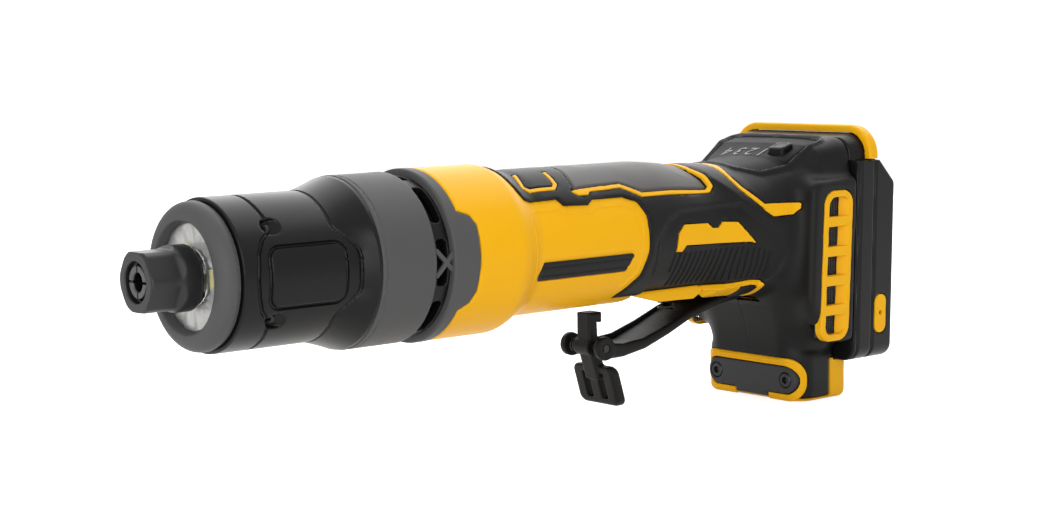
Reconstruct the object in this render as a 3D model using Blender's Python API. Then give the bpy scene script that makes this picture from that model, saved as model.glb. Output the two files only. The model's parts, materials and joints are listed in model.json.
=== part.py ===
"""Cordless die grinder with a long nose, a paddle switch with a lock-off lever and a slide-on battery foot.

Metres, +Z up, +X towards the battery foot, nose at -X, symmetric about Y = 0. The origin is under the middle
of the grinder, on the plane of the foot's sole. Stations are distances from the collet nut's face along +X,
and heights are measured from the spindle's axis.
"""
from math import atan2, cos, pi, radians, sin, tan

import bmesh
import bpy
from mathutils import Matrix, Vector

# Clearances
GAP = 0.0003
RUNNING_GAP = 0.0003
AIR_GAP = 0.0006
TINY = 1e-7

# Collet, nut and spindle
NUT_LENGTH = 0.0195
NUT_RADIUS = 0.0105
NUT_FLATS = 0.0190
NUT_MOUTH_RADIUS = 0.0071
NUT_LIP = 0.0025
COLLET_RECESS = 0.0008
COLLET_FACE_RADIUS = 0.0058
COLLET_WALL_SLIT = 0.0010
COLLET_SLITS = 4
SHANK_RADIUS = 0.003175
SPINDLE_THREAD_RADIUS = 0.0078
SPINDLE_RADIUS = 0.0057
SPINDLE_TAIL_RADIUS = 0.0038
TAPER_DROP = 0.0016
COLLET_SHOULDER = 0.0010
SHOULDER_LENGTH = 0.0014
COLLET_TAIL = 0.0055
NUT_CLEARANCE = 0.0008

# Stations along the nose and the body
RING_FRONT = 0.0175
BARREL_LENGTH = 0.0395
FLARE_LENGTH = 0.0125
FLARE_LAND = 0.0020
COLLAR_LENGTH = 0.0230
VENT_LENGTH = 0.0070
RIM_LENGTH = 0.0050
RIM_TAB_LENGTH = 0.0062
RIM_TAB_HALF_HEIGHT = 0.0140
RIM_TAB_THICKNESS = 0.0023
STEP_LENGTH = 0.0135
GRIP_LENGTH = 0.1030
HEAD_LENGTH = 0.0540
FRAME_LENGTH = 0.0230

# Radii of the nose and the body
RING_RADIUS = 0.0250
RING_OPENING_RADIUS = 0.0184
RING_EDGE = 0.0045
BARREL_RADIUS = 0.0260
COLLAR_RADIUS = 0.0303
VENT_RADIUS = 0.0285
VENT_WALL = 0.0030
COLLAR_WALL = 0.0040
BODY_RADIUS = 0.0310
GRIP_RADIUS = 0.0262
SHELL_WALL = 0.0035
OVERMOULD_THICKNESS = 0.0018
SPLIT_HALF_GAP = 0.00015

# Nose pieces
LENS_THICKNESS = 0.0018
LENS_DEPTH = 0.0024
LENS_LAP = 0.0006
BOARD_THICKNESS = 0.0012
LED_COUNT = 3
LED_PHASE = 0.25
LED_RADIUS = 0.0016
LED_HEIGHT = 0.0010
NOSE_TUBE_RADIUS = 0.0200
NOSE_BORE_RADIUS = 0.0090
FLANGE_LENGTH = 0.0040
SEAT_STEP = 0.0025
POCKET_SHIFT = 0.0012
SCREW_CIRCLE_RADIUS = 0.0231
SCREW_ANGLE = 40.0
SCREW_POCKET_START = 0.0062
SCREW_POCKET_LENGTH = 0.0075
NOSE_SCREW_HEAD_RADIUS = 0.0019
NOSE_SCREW_HEAD_LENGTH = 0.0024
NOSE_SCREW_RADIUS = 0.0012
VENT_WINDOWS = 8
VENT_WINDOW_WIDTH = 0.0105
VENT_WINDOW_LENGTH = 0.0042

# Bearings
FRONT_BEARING_BORE = 0.0060
FRONT_BEARING_RADIUS = 0.0140
FRONT_BEARING_WIDTH = 0.0080
FRONT_BEARING_INSET = 0.0033
REAR_BEARING_BORE = 0.0041
REAR_BEARING_RADIUS = 0.0110
REAR_BEARING_WIDTH = 0.0070
REAR_BEARING_INSET = 0.0022
SLEEVE_WALL = 0.0013
RACE_SHARE = 0.30
BALLS_PER_BEARING = 7
BELL_WALL = 0.0022

# Motor
WINDING_LENGTH = 0.0065
STATOR_LENGTH = 0.0205
ROTOR_RADIUS = 0.0120
WINDING_CLEARANCE = 0.0025
WINDING_THICKNESS = 0.0060
FAN_LENGTH = 0.0060
FAN_HUB_RADIUS = 0.0110
FAN_TIP_GAP = 0.0010
FAN_BLADES = 9
FAN_BLADE_THICKNESS = 0.0012
FAN_DISC = 0.0014

# Foot, with heights from the spindle's axis and lifts from the sole
FOOT_DEPTH = 0.0730
BLOCK_HEIGHT = 0.0190
BLOCK_SETBACK = 0.0320
BLOCK_HALF_WIDTH = 0.0270
BLOCK_CORNER = 0.0070
BLOCK_TAIL = 0.0075
TRUNK_SETBACK = 0.0300
TRUNK_HALF_WIDTH = 0.0245
TRUNK_CORNER = 0.0130
HEAD_HALF_WIDTH = 0.0340
HEAD_LEAD = 0.10
HEAD_TUCK = 0.0020
RECESS_EDGE = [(-0.85, 0.0010), (-0.74, 0.0078), (-0.59, 0.0106), (-0.03, 0.0112), (0.11, 0.0055),
               (0.28, -0.0020), (0.37, -0.0110)]
RECESS_DEPTH = 0.0010
POD_LIP = 0.0060
POD_TOP = 0.0180
POD_LIFT = 0.0250
POD_CORNER = 0.0060
LOUVRE_REAR_MARGIN = 0.0020
LOUVRE_LENGTH = 0.0175
LOUVRE_TOP = 0.0135
LOUVRE_MARGIN = 0.0015
LOUVRE_RIM = 0.0030
LOUVRE_BARS = 4
LOUVRE_BAR = 0.0040
LOUVRE_THICKNESS = 0.0032
FILTER_THICKNESS = 0.0010
FRAME_HALF_WIDTH = 0.0380
FRAME_LIFT = 0.0160
FRAME_CORNER = 0.0060
FRAME_WALL = 0.0050
FRAME_REAR_CHAMFER = 0.0100
ARCH_SHOULDER = 0.0255
ARCH_RADIUS = 0.0125
ARCH_TOP = 0.0390
CROWN_DROP = 0.0053
BUMPER_LENGTH = 0.0052
BUMPER_SETBACK = 0.0078
BUMPER_THICKNESS = 0.0030
RAIL_OPENING = 0.0250
RAIL_GROOVE = 0.0290
RAIL_LIP = 0.0050
RAIL_TOP = 0.0140
TERMINAL_HALF_WIDTH = 0.0150
TERMINAL_HEIGHT = 0.0240
TERMINAL_TOP = 0.0040
TERMINAL_DEPTH = 0.0100
TERMINAL_BASE = 0.0035
BLADE_COUNT = 3
BLADE_PITCH = 0.0090
BLADE_THICKNESS = 0.0010
BLADE_HEIGHT = 0.0080
BLADE_LENGTH = 0.0120

# Chip cover
COVER_HALF_WIDTH = 0.0245
COVER_HEIGHT = 0.0140
COVER_MARGIN = 0.0018
COVER_THICKNESS = 0.0030
COVER_PROUD = 0.0008
COVER_SCREW_OFFSET = 0.0193
COVER_SCREW_HEAD_RADIUS = 0.0030
COVER_SCREW_HEAD_LENGTH = 0.0016
COVER_SCREW_RADIUS = 0.0015
COVER_SCREW_LENGTH = 0.0095

# Display and speed button
PANEL_FRONT = 0.0110
PANEL_LENGTH = 0.0350
PANEL_HALF_FRONT = 0.0140
PANEL_HALF_REAR = 0.0210
PANEL_THICKNESS = 0.0012
BUTTON_SETBACK = 0.0350
BUTTON_OFFSET = -0.0135
BUTTON_RADIUS = 0.0046
BUTTON_PROUD = 0.0022
BUTTON_TRAVEL = 0.0010
BUTTON_STEM = 0.0025

# Grip pad
PAD_START = 0.0200
PAD_LENGTH = 0.0720
PAD_HALF_ANGLE = 50.0
PAD_THICKNESS = 0.0019
PAD_EDGE_THICKNESS = 0.0009
PAD_RAMP = 0.0040

# Paddle, lock-off lever and switch
PADDLE_PIVOT_SETBACK = 0.0260
PADDLE_PIVOT_HEIGHT = -0.0245
PADDLE_LENGTH = 0.0860
PADDLE_HALF_WIDTH = 0.0110
PADDLE_WALL = 0.0024
PADDLE_SWING = 5.0
PADDLE_PIN_RADIUS = 0.0015
PADDLE_HUB_RADIUS = 0.0034
PIN_END = 0.0035
PADDLE_LOWER_EDGE = [(0.0, -0.0030), (0.0060, -0.0045), (0.0235, -0.0065), (0.0390, -0.0105),
                     (0.0520, -0.0157), (0.0645, -0.0199), (0.0760, -0.0218), (0.0860, -0.0220)]
PADDLE_UPPER_EDGE = [(0.0, 0.0030), (0.0060, 0.0002), (0.0235, -0.0028), (0.0390, -0.0070),
                     (0.0520, -0.0118), (0.0645, -0.0155), (0.0760, -0.0165), (0.0860, -0.0150)]
LEVER_PIVOT_HEIGHT = -0.0420
EAR_RADIUS = 0.0045
EAR_THICKNESS = 0.0026
LEVER_ARM_HALF_WIDTH = 0.0040
LEVER_ARM_THICKNESS = 0.0042
LEVER_TOP_HEIGHT = -0.0288
LEVER_HOOK_REACH = 0.0060
LEVER_TAB_TOP = -0.0505
LEVER_TAB_BOTTOM = -0.0665
LEVER_TAB_HALF_WIDTH = 0.0110
LEVER_TAB_THICKNESS = 0.0046
LEVER_LEAN = 0.0040
LEVER_HUB_RADIUS = 0.0036
LEVER_PIN_RADIUS = 0.0015
LEVER_SLOT_WIDTH = 0.0034
LEVER_SLOT_HEIGHT = 0.0110
CHANNEL_HEIGHT = -0.0200
LEVER_POCKET_TOP = -0.0190
FLOOR_HEIGHT = -0.0170
SWITCH_LENGTH = 0.0200
SWITCH_HEIGHT = 0.0120
SWITCH_HALF_WIDTH = 0.0065
SWITCH_ARM = 0.0210
PLUNGER_RADIUS = 0.0022
PLUNGER_SOCKET = 0.0065
CONTROLLER_LENGTH = 0.0640
CONTROLLER_HALF_WIDTH = 0.0120
CONTROLLER_HEIGHT = 0.0260
SPRING_ARM = 0.0430
SPRING_RADIUS = 0.0034
SPRING_WIRE_RADIUS = 0.0005
SPRING_TURNS = 5
LEVER_SPRING_RADIUS = 0.0025
LEVER_SPRING_WIRE_RADIUS = 0.0004
LEVER_SPRING_TURNS = 2

# Clamshell screws
CASE_SCREW_RADIUS = 0.0015
CASE_SCREW_HEAD_RADIUS = 0.0026
CASE_SCREW_HEAD_LENGTH = 0.0024
CASE_SCREW_LENGTH = 0.0180
GRIP_SCREW_SETBACK = 0.0190
GRIP_SCREW_HEIGHT = -0.0203
GRIP_SCREW_TOP = 0.0120
HEAD_SCREW_SETBACK = 0.0405
HEAD_SCREW_HEIGHT = 0.0213
HEAD_SCREW_TOP = 0.0180

# Mesh fineness
FINE = 24
COARSE = 16
BORE_SIDES = 10
BALL_SIDES = 6
BALL_STEPS = 3
COIL_POINTS = 9
WELD = 2e-6

# Stations that follow from the lengths
LENS_FRONT = RING_FRONT + LENS_DEPTH
BOARD_FRONT = LENS_FRONT + LENS_THICKNESS + LED_HEIGHT + GAP
RING_REAR = BOARD_FRONT + BOARD_THICKNESS + GAP
FLARE_START = RING_REAR + BARREL_LENGTH
COLLAR_FRONT = FLARE_START + FLARE_LENGTH
COLLAR_REAR = COLLAR_FRONT + COLLAR_LENGTH
VENT_REAR = COLLAR_REAR + VENT_LENGTH
RIM_REAR = VENT_REAR + RIM_LENGTH
STATOR_FRONT = RIM_REAR + WINDING_LENGTH
STEP_START = STATOR_FRONT + STATOR_LENGTH
GRIP_START = STEP_START + STEP_LENGTH
HEAD_START = GRIP_START + GRIP_LENGTH
FRAME_FRONT = HEAD_START + HEAD_LENGTH
TOTAL_LENGTH = FRAME_FRONT + FRAME_LENGTH
NOSE_X = -TOTAL_LENGTH / 2
AXIS_Z = FOOT_DEPTH

# Places that follow from the sizes
MOTOR_CAVITY_RADIUS = BODY_RADIUS - SHELL_WALL
GRIP_CAVITY_RADIUS = GRIP_RADIUS - SHELL_WALL
FRONT_BEARING_FRONT = RING_REAR + FRONT_BEARING_INSET
REAR_BEARING_FRONT = GRIP_START + REAR_BEARING_INSET
SHOULDER_FRONT = NUT_LIP + COLLET_SHOULDER + GAP
SPINDLE_FRONT = SHOULDER_FRONT + SHOULDER_LENGTH
SPINDLE_END = REAR_BEARING_FRONT + REAR_BEARING_WIDTH + BELL_WALL / 2
BELL_REAR = REAR_BEARING_FRONT + REAR_BEARING_WIDTH + BELL_WALL
BLOCK_FRONT = HEAD_START + BLOCK_SETBACK
BLOCK_TOP = BLOCK_HEIGHT - FOOT_DEPTH
COVER_CENTRE = -FOOT_DEPTH + COVER_MARGIN + COVER_HEIGHT / 2
PADDLE_PIVOT = HEAD_START + PADDLE_PIVOT_SETBACK
LEVER_PIVOT = PADDLE_PIVOT - PADDLE_LENGTH
SWITCH_STATION = PADDLE_PIVOT - SWITCH_ARM
FRAME_BOTTOM = FRAME_LIFT - FOOT_DEPTH
LOUVRE_FRONT = FRAME_FRONT - LOUVRE_REAR_MARGIN - LOUVRE_LENGTH
POD_FRONT = LOUVRE_FRONT - POD_LIP
POD_HALF_WIDTH = FRAME_HALF_WIDTH
POD_BOTTOM = POD_LIFT - FOOT_DEPTH
LOUVRE_BOTTOM = POD_BOTTOM + LOUVRE_MARGIN
BUMPER_FRONT = FRAME_FRONT + BUMPER_SETBACK
EAR_INNER = PADDLE_HALF_WIDTH - EAR_THICKNESS

GREY = ((0.145, 0.145, 0.148), 0.55, 0.0)
BLACK = ((0.012, 0.012, 0.013), 0.50, 0.0)
YELLOW = ((0.90, 0.50, 0.010), 0.42, 0.0)
SOFT = ((0.030, 0.029, 0.029), 0.70, 0.0)
CLEAR = ((0.75, 0.77, 0.78), 0.12, 0.0)
STEEL = ((0.45, 0.45, 0.46), 0.30, 1.0)
BLACK_STEEL = ((0.030, 0.030, 0.032), 0.38, 0.8)
CAST = ((0.42, 0.42, 0.43), 0.45, 1.0)
COPPER = ((0.60, 0.26, 0.12), 0.35, 1.0)
BRASS = ((0.70, 0.52, 0.20), 0.30, 1.0)
BOARD_GREEN = ((0.02, 0.14, 0.06), 0.55, 0.0)


def clear_scene():
    """Empty the scene."""
    for item in list(bpy.data.objects):
        bpy.data.objects.remove(item)


def at(station):
    """World X of a station counted from the nut's face."""
    return NOSE_X + station


def up(height):
    """World Z of a height above the spindle's axis."""
    return AXIS_Z + height


def finish(item, look):
    """Give an object its own Principled material."""
    colour, roughness, metallic = look
    material = bpy.data.materials.new(item.name)
    material.use_nodes = True
    shader = material.node_tree.nodes["Principled BSDF"]
    shader.inputs["Base Color"].default_value = (*colour, 1.0)
    shader.inputs["Roughness"].default_value = roughness
    shader.inputs["Metallic"].default_value = metallic
    item.data.materials.clear()
    item.data.materials.append(material)
    return item


def solid(name, bm):
    """Turn a closed bmesh into an object with its faces pointing out."""
    bmesh.ops.recalc_face_normals(bm, faces=bm.faces)
    mesh = bpy.data.meshes.new(name)
    bm.to_mesh(mesh)
    bm.free()
    mesh.shade_smooth()
    mesh.set_sharp_from_angle(angle=radians(35))
    item = bpy.data.objects.new(name, mesh)
    bpy.context.scene.collection.objects.link(item)
    return item


def join_rings(bm, ring, after):
    """Faces between two rings of points, either of which may be a single point."""
    count = max(len(ring), len(after))
    if count == 1:
        return
    for index in range(count):
        follow = (index + 1) % count
        corners = [ring[index % len(ring)], ring[follow % len(ring)],
                   after[follow % len(after)], after[index % len(after)]]
        face = []
        for corner in corners:
            if corner not in face:
                face.append(corner)
        bm.faces.new(face)


def turned(name, profile, sides=COARSE, centre=(0.0, 0.0), axis="X"):
    """Solid of revolution from a closed loop of (place along the axis, radius)."""
    bm = bmesh.new()
    rings = []
    for along, radius in profile:
        if radius < TINY:
            angles = [0.0]
        else:
            angles = [2 * pi * (index + 0.5) / sides for index in range(sides)]
        ring = []
        for angle in angles:
            first = centre[0] + radius * sin(angle)
            second = centre[1] + radius * cos(angle)
            if axis == "X":
                place = (at(along), first, up(second))
            elif axis == "Y":
                place = (at(first), along, up(second))
            else:
                place = (at(first), second, up(along))
            ring.append(bm.verts.new(place))
        rings.append(ring)
    for ring, after in zip(rings, rings[1:] + rings[:1]):
        join_rings(bm, ring, after)
    return solid(name, bm)


def rod(name, low, high, radius, centre, axis="X", sides=BORE_SIDES):
    """Plain round bar between two places along an axis."""
    profile = [(low, 0.0), (low, radius), (high, radius), (high, 0.0)]
    return turned(name, profile, sides, centre, axis)


def tube(name, low, high, inner, outer, sides=COARSE):
    """Plain ring on the spindle's axis."""
    return turned(name, [(low, inner), (low, outer), (high, outer), (high, inner)], sides)


def prism(name, outline, low, high, axis="Y"):
    """Straight solid: a flat outline carried along one axis.

    Along Y the outline holds (station, height), along X (y, height) and along Z (station, y).
    """
    bm = bmesh.new()
    rings = []
    for along in (low, high):
        ring = []
        for first, second in outline:
            if axis == "Y":
                place = (at(first), along, up(second))
            elif axis == "X":
                place = (at(along), first, up(second))
            else:
                place = (at(first), second, up(along))
            ring.append(bm.verts.new(place))
        rings.append(ring)
    join_rings(bm, rings[0], rings[1])
    bm.faces.new(rings[0])
    bm.faces.new(rings[1])
    return solid(name, bm)


def block(name, stations, widths, heights):
    """Plain box between two stations, two Y places and two heights."""
    outline = [(stations[0], heights[0]), (stations[1], heights[0]),
               (stations[1], heights[1]), (stations[0], heights[1])]
    return prism(name, outline, widths[0], widths[1])


def loft(name, rings):
    """Solid through rings of world points that hold the same number of points."""
    bm = bmesh.new()
    made = []
    for ring in rings:
        made.append([bm.verts.new(point) for point in ring])
    for ring, after in zip(made, made[1:]):
        join_rings(bm, ring, after)
    bm.faces.new(made[0])
    bm.faces.new(made[-1])
    return solid(name, bm)


def rounded(points, radii, steps=3):
    """Closed outline whose corners are replaced by arcs of the given radii."""
    outline = []
    count = len(points)
    for index, point in enumerate(points):
        here = Vector(point)
        back = Vector(points[index - 1]) - here
        ahead = Vector(points[(index + 1) % count]) - here
        radius = radii[index] if isinstance(radii, (list, tuple)) else radii
        half = back.angle(ahead) / 2
        reach = radius / tan(half)
        if radius < TINY:
            outline.append(tuple(here))
            continue
        bisector = (back.normalized() + ahead.normalized()).normalized()
        middle = here + bisector * (radius / sin(half))
        start = here + back.normalized() * reach - middle
        end = here + ahead.normalized() * reach - middle
        turn = atan2(start.x * end.y - start.y * end.x, start.dot(end))
        for step in range(steps + 1):
            angle = turn * step / steps
            outline.append((middle.x + start.x * cos(angle) - start.y * sin(angle),
                            middle.y + start.x * sin(angle) + start.y * cos(angle)))
    return outline


def weld(mesh):
    """Merge points that fall together and close the slits this leaves, so that the surface stays closed."""
    bm = bmesh.new()
    bm.from_mesh(mesh)
    bmesh.ops.remove_doubles(bm, verts=bm.verts, dist=WELD)
    bmesh.ops.dissolve_degenerate(bm, dist=WELD, edges=bm.edges)
    bmesh.ops.holes_fill(bm, edges=[edge for edge in bm.edges if edge.is_boundary], sides=4)
    bm.to_mesh(mesh)
    bm.free()
    return mesh


def combine(item, other, operation):
    """Join, cut or keep the common part of two solids; the second one is used up."""
    modifier = item.modifiers.new("shape", "BOOLEAN")
    modifier.operation = operation
    modifier.solver = "EXACT"
    modifier.object = other
    graph = bpy.context.evaluated_depsgraph_get()
    mesh = bpy.data.meshes.new_from_object(item.evaluated_get(graph))
    item.modifiers.clear()
    item.data = weld(mesh)
    bpy.data.objects.remove(other)
    return item


def join(item, *others):
    """Union of solids."""
    for other in others:
        combine(item, other, "UNION")
    return item


def cut(item, *others):
    """Take solids away from the first one."""
    for other in others:
        combine(item, other, "DIFFERENCE")
    return item


def common(item, *others):
    """Keep what the solids share."""
    for other in others:
        combine(item, other, "INTERSECT")
    return item


def copy(item, name):
    """Second object with its own mesh."""
    twin = bpy.data.objects.new(name, item.data.copy())
    bpy.context.scene.collection.objects.link(twin)
    return twin


def half_box(side):
    """Box that holds one side of the grinder, short of the split plane."""
    reach = 2 * POD_HALF_WIDTH
    near, far = sorted((side * SPLIT_HALF_GAP, side * reach))
    return block("half", (-TOTAL_LENGTH, 2 * TOTAL_LENGTH), (near, far), (-2 * FOOT_DEPTH, 2 * FOOT_DEPTH))


def coil(name, centre, axis, radius, wire, turns, length, look):
    """Spring: one unbroken wire of whole turns along an axis."""
    count = turns * COIL_POINTS
    curve = bpy.data.curves.new(name, "CURVE")
    curve.dimensions = "3D"
    curve.bevel_depth = wire
    curve.bevel_resolution = 1
    curve.use_fill_caps = True
    spline = curve.splines.new("POLY")
    spline.points.add(count)
    travel = length - 2 * wire
    for index, point in enumerate(spline.points):
        angle = 2 * pi * index / COIL_POINTS
        along = wire + travel * index / count
        if axis == "Z":
            place = (radius * cos(angle), radius * sin(angle), along)
        else:
            place = (radius * cos(angle), along, radius * sin(angle))
        point.co = (at(centre[0]) + place[0], centre[1] + place[1], up(centre[2]) + place[2], 1.0)
    print(name, "least gap between turns", round(travel / turns - 2 * wire, 5))
    item = bpy.data.objects.new(name, curve)
    bpy.context.scene.collection.objects.link(item)
    graph = bpy.context.evaluated_depsgraph_get()
    mesh = bpy.data.meshes.new_from_object(item.evaluated_get(graph))
    bpy.data.objects.remove(item)
    made = bpy.data.objects.new(name, weld(mesh))
    bpy.context.scene.collection.objects.link(made)
    return finish(made, look)


def on_axis(item, pivot):
    """Move an object's origin onto its joint's axis, given as (station, y, height)."""
    place = Vector((at(pivot[0]), pivot[1], up(pivot[2])))
    item.data.transform(Matrix.Translation(-place))
    item.location = place
    return item


def radial_box(stations, radii, width, angle):
    """Box that stands out from the spindle's axis at an angle from straight up."""
    out = Vector((0, sin(angle), cos(angle)))
    along = Vector((0, cos(angle), -sin(angle)))
    rings = []
    for radius in radii:
        ring = []
        for station, side in ((stations[0], -1), (stations[1], -1), (stations[1], 1), (stations[0], 1)):
            place = out * radius + along * (side * width / 2)
            ring.append((at(station), place.y, up(place.z)))
        rings.append(ring)
    return loft("radial", rings)


def blend(low, high, share):
    """Smooth change between two values for a share from 0 to 1."""
    return low + (high - low) * (0.5 - 0.5 * cos(pi * share))


# Collet, nut and spindle

def collet_radius(station):
    """Outer radius of the collet's taper."""
    share = (station - SPINDLE_FRONT) / (NUT_LENGTH - SPINDLE_FRONT)
    return COLLET_FACE_RADIUS + COLLET_SHOULDER - TAPER_DROP * share


def make_collet():
    """Slit collet with a bore for the tool's shank."""
    shoulder = COLLET_FACE_RADIUS + COLLET_SHOULDER
    profile = [(COLLET_RECESS, SHANK_RADIUS), (COLLET_RECESS, COLLET_FACE_RADIUS),
               (SHOULDER_FRONT, COLLET_FACE_RADIUS), (SHOULDER_FRONT, shoulder),
               (SPINDLE_FRONT, shoulder), (NUT_LENGTH, collet_radius(NUT_LENGTH)), (NUT_LENGTH, SHANK_RADIUS)]
    collet = turned("collet", profile, COARSE)
    reach = 2 * shoulder
    slit_end = NUT_LENGTH - COLLET_TAIL
    for index in range(COLLET_SLITS):
        angle = 2 * pi * index / COLLET_SLITS
        cut(collet, radial_box((-GAP, slit_end), (0.0, reach), COLLET_WALL_SLIT, angle))
    return on_axis(finish(collet, BLACK_STEEL), (0, 0, 0))


def make_nut():
    """Collet nut with six wrench flats and a coned mouth."""
    thread = SPINDLE_THREAD_RADIUS + GAP
    hole = COLLET_FACE_RADIUS + GAP
    edge = NUT_RADIUS - NUT_FLATS / 2
    profile = [(0.0, NUT_MOUTH_RADIUS), (0.0, NUT_FLATS / 2), (edge, NUT_RADIUS), (NUT_LENGTH, NUT_RADIUS),
               (NUT_LENGTH, thread), (NUT_LIP + thread - hole, thread), (NUT_LIP, hole), (NUT_LIP / 2, hole)]
    nut = turned("collet_nut", profile, FINE)
    corner = NUT_FLATS / 2 / cos(pi / 6)
    hexagon = [(corner * sin(pi * i / 3), corner * cos(pi * i / 3)) for i in range(6)]
    common(nut, prism("flats", hexagon, -NUT_LIP, NUT_LENGTH + NUT_LIP, "X"))
    return on_axis(finish(nut, BLACK_STEEL), (0, 0, 0))


def make_spindle():
    """Spindle with its collet taper, and the rotor and fan that turn on it."""
    shoulder = FRONT_BEARING_FRONT - GAP
    tail = REAR_BEARING_FRONT - GAP
    bottom = NUT_LENGTH + GAP
    profile = [(SPINDLE_FRONT, collet_radius(SPINDLE_FRONT) + GAP), (SPINDLE_FRONT, SPINDLE_THREAD_RADIUS),
               (shoulder, SPINDLE_THREAD_RADIUS), (shoulder, SPINDLE_RADIUS), (tail, SPINDLE_RADIUS),
               (tail, SPINDLE_TAIL_RADIUS), (SPINDLE_END, SPINDLE_TAIL_RADIUS), (SPINDLE_END, 0.0),
               (bottom, 0.0), (bottom, collet_radius(NUT_LENGTH) + GAP)]
    spindle = turned("spindle", profile, COARSE)
    on_axis(finish(spindle, STEEL), (0, 0, 0))
    hub = SPINDLE_RADIUS + GAP
    rotor = tube("rotor", STATOR_FRONT, STEP_START - GAP, hub, ROTOR_RADIUS)
    on_axis(finish(rotor, STEEL), (0, 0, 0))


def make_fan():
    """Cooling fan that blows out through the vent ring's windows."""
    hub = SPINDLE_RADIUS + GAP
    front = COLLAR_REAR + (VENT_LENGTH - FAN_LENGTH) / 2
    rear = front + FAN_LENGTH
    disc = rear - FAN_DISC
    radius = VENT_RADIUS - VENT_WALL - FAN_TIP_GAP
    profile = [(front, hub), (front, FAN_HUB_RADIUS), (disc, FAN_HUB_RADIUS), (disc, radius), (rear, radius),
               (rear, hub)]
    fan = turned("fan", profile, COARSE)
    for index in range(FAN_BLADES):
        angle = 2 * pi * index / FAN_BLADES
        blade = radial_box((front + GAP, disc + FAN_DISC / 2), (FAN_HUB_RADIUS - FAN_DISC, radius - FAN_DISC),
                           FAN_BLADE_THICKNESS, angle)
        join(fan, blade)
    return on_axis(finish(fan, BLACK), (0, 0, 0))


def make_bearing(name, front, width, bore, radius):
    """Ball bearing: two races and a cage with its balls."""
    race = RACE_SHARE * (radius - bore)
    inner = tube(name + "_inner", front, front + width, bore, bore + race)
    on_axis(finish(inner, STEEL), (0, 0, 0))
    finish(tube(name + "_outer", front, front + width, radius - race, radius), STEEL)
    middle = (bore + radius) / 2
    ball = (radius - bore) / 2 - race - RUNNING_GAP
    centre = front + width / 2
    cage = tube(name + "_cage", centre - ball / 2, centre + ball / 2, middle - ball / 2, middle + ball / 2)
    for index in range(BALLS_PER_BEARING):
        angle = 2 * pi * index / BALLS_PER_BEARING
        place = (middle * sin(angle), middle * cos(angle))
        arc = [(centre - ball * cos(pi * step / BALL_STEPS), ball * sin(pi * step / BALL_STEPS))
               for step in range(BALL_STEPS + 1)]
        join(cage, turned("ball", arc, BALL_SIDES, place))
    on_axis(finish(cage, BRASS), (0, 0, 0))


# Nose

def make_nose_ring():
    """Rounded ring round the work light."""
    seat = RING_OPENING_RADIUS + LENS_LAP + GAP
    lip_rear = LENS_FRONT - GAP
    steps = 4
    outer = []
    for step in range(steps + 1):
        angle = pi / 2 * step / steps
        outer.append((RING_FRONT + RING_EDGE * (1 - cos(angle)), RING_RADIUS - RING_EDGE * (1 - sin(angle))))
    profile = [(RING_FRONT + GAP, RING_OPENING_RADIUS)] + outer
    profile += [(RING_REAR - GAP, BARREL_RADIUS - GAP), (RING_REAR - GAP, seat), (lip_rear, seat),
                (lip_rear, RING_OPENING_RADIUS)]
    finish(turned("nose_ring", profile, FINE), GREY)


def make_light():
    """Clear lens and the light board behind it."""
    inner = NUT_RADIUS + NUT_CLEARANCE
    outer = RING_OPENING_RADIUS + LENS_LAP
    finish(tube("light_lens", LENS_FRONT, LENS_FRONT + LENS_THICKNESS, inner, outer, FINE), CLEAR)
    board = tube("light_board", BOARD_FRONT, BOARD_FRONT + BOARD_THICKNESS, inner, outer, FINE)
    middle = (inner + outer) / 2
    for index in range(LED_COUNT):
        angle = 2 * pi * (index + LED_PHASE) / LED_COUNT
        place = (middle * sin(angle), middle * cos(angle))
        led_rear = BOARD_FRONT + BOARD_THICKNESS / 2
        join(board, rod("led", BOARD_FRONT - LED_HEIGHT, led_rear, LED_RADIUS, place))
    finish(board, BOARD_GREEN)


def nose_screw_places():
    """Y and height of the four screws that run along the barrel's wall."""
    angle = radians(SCREW_ANGLE)
    reach = SCREW_CIRCLE_RADIUS
    return [(side * reach * cos(angle), level * reach * sin(angle)) for side in (-1, 1) for level in (1, -1)]


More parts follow.
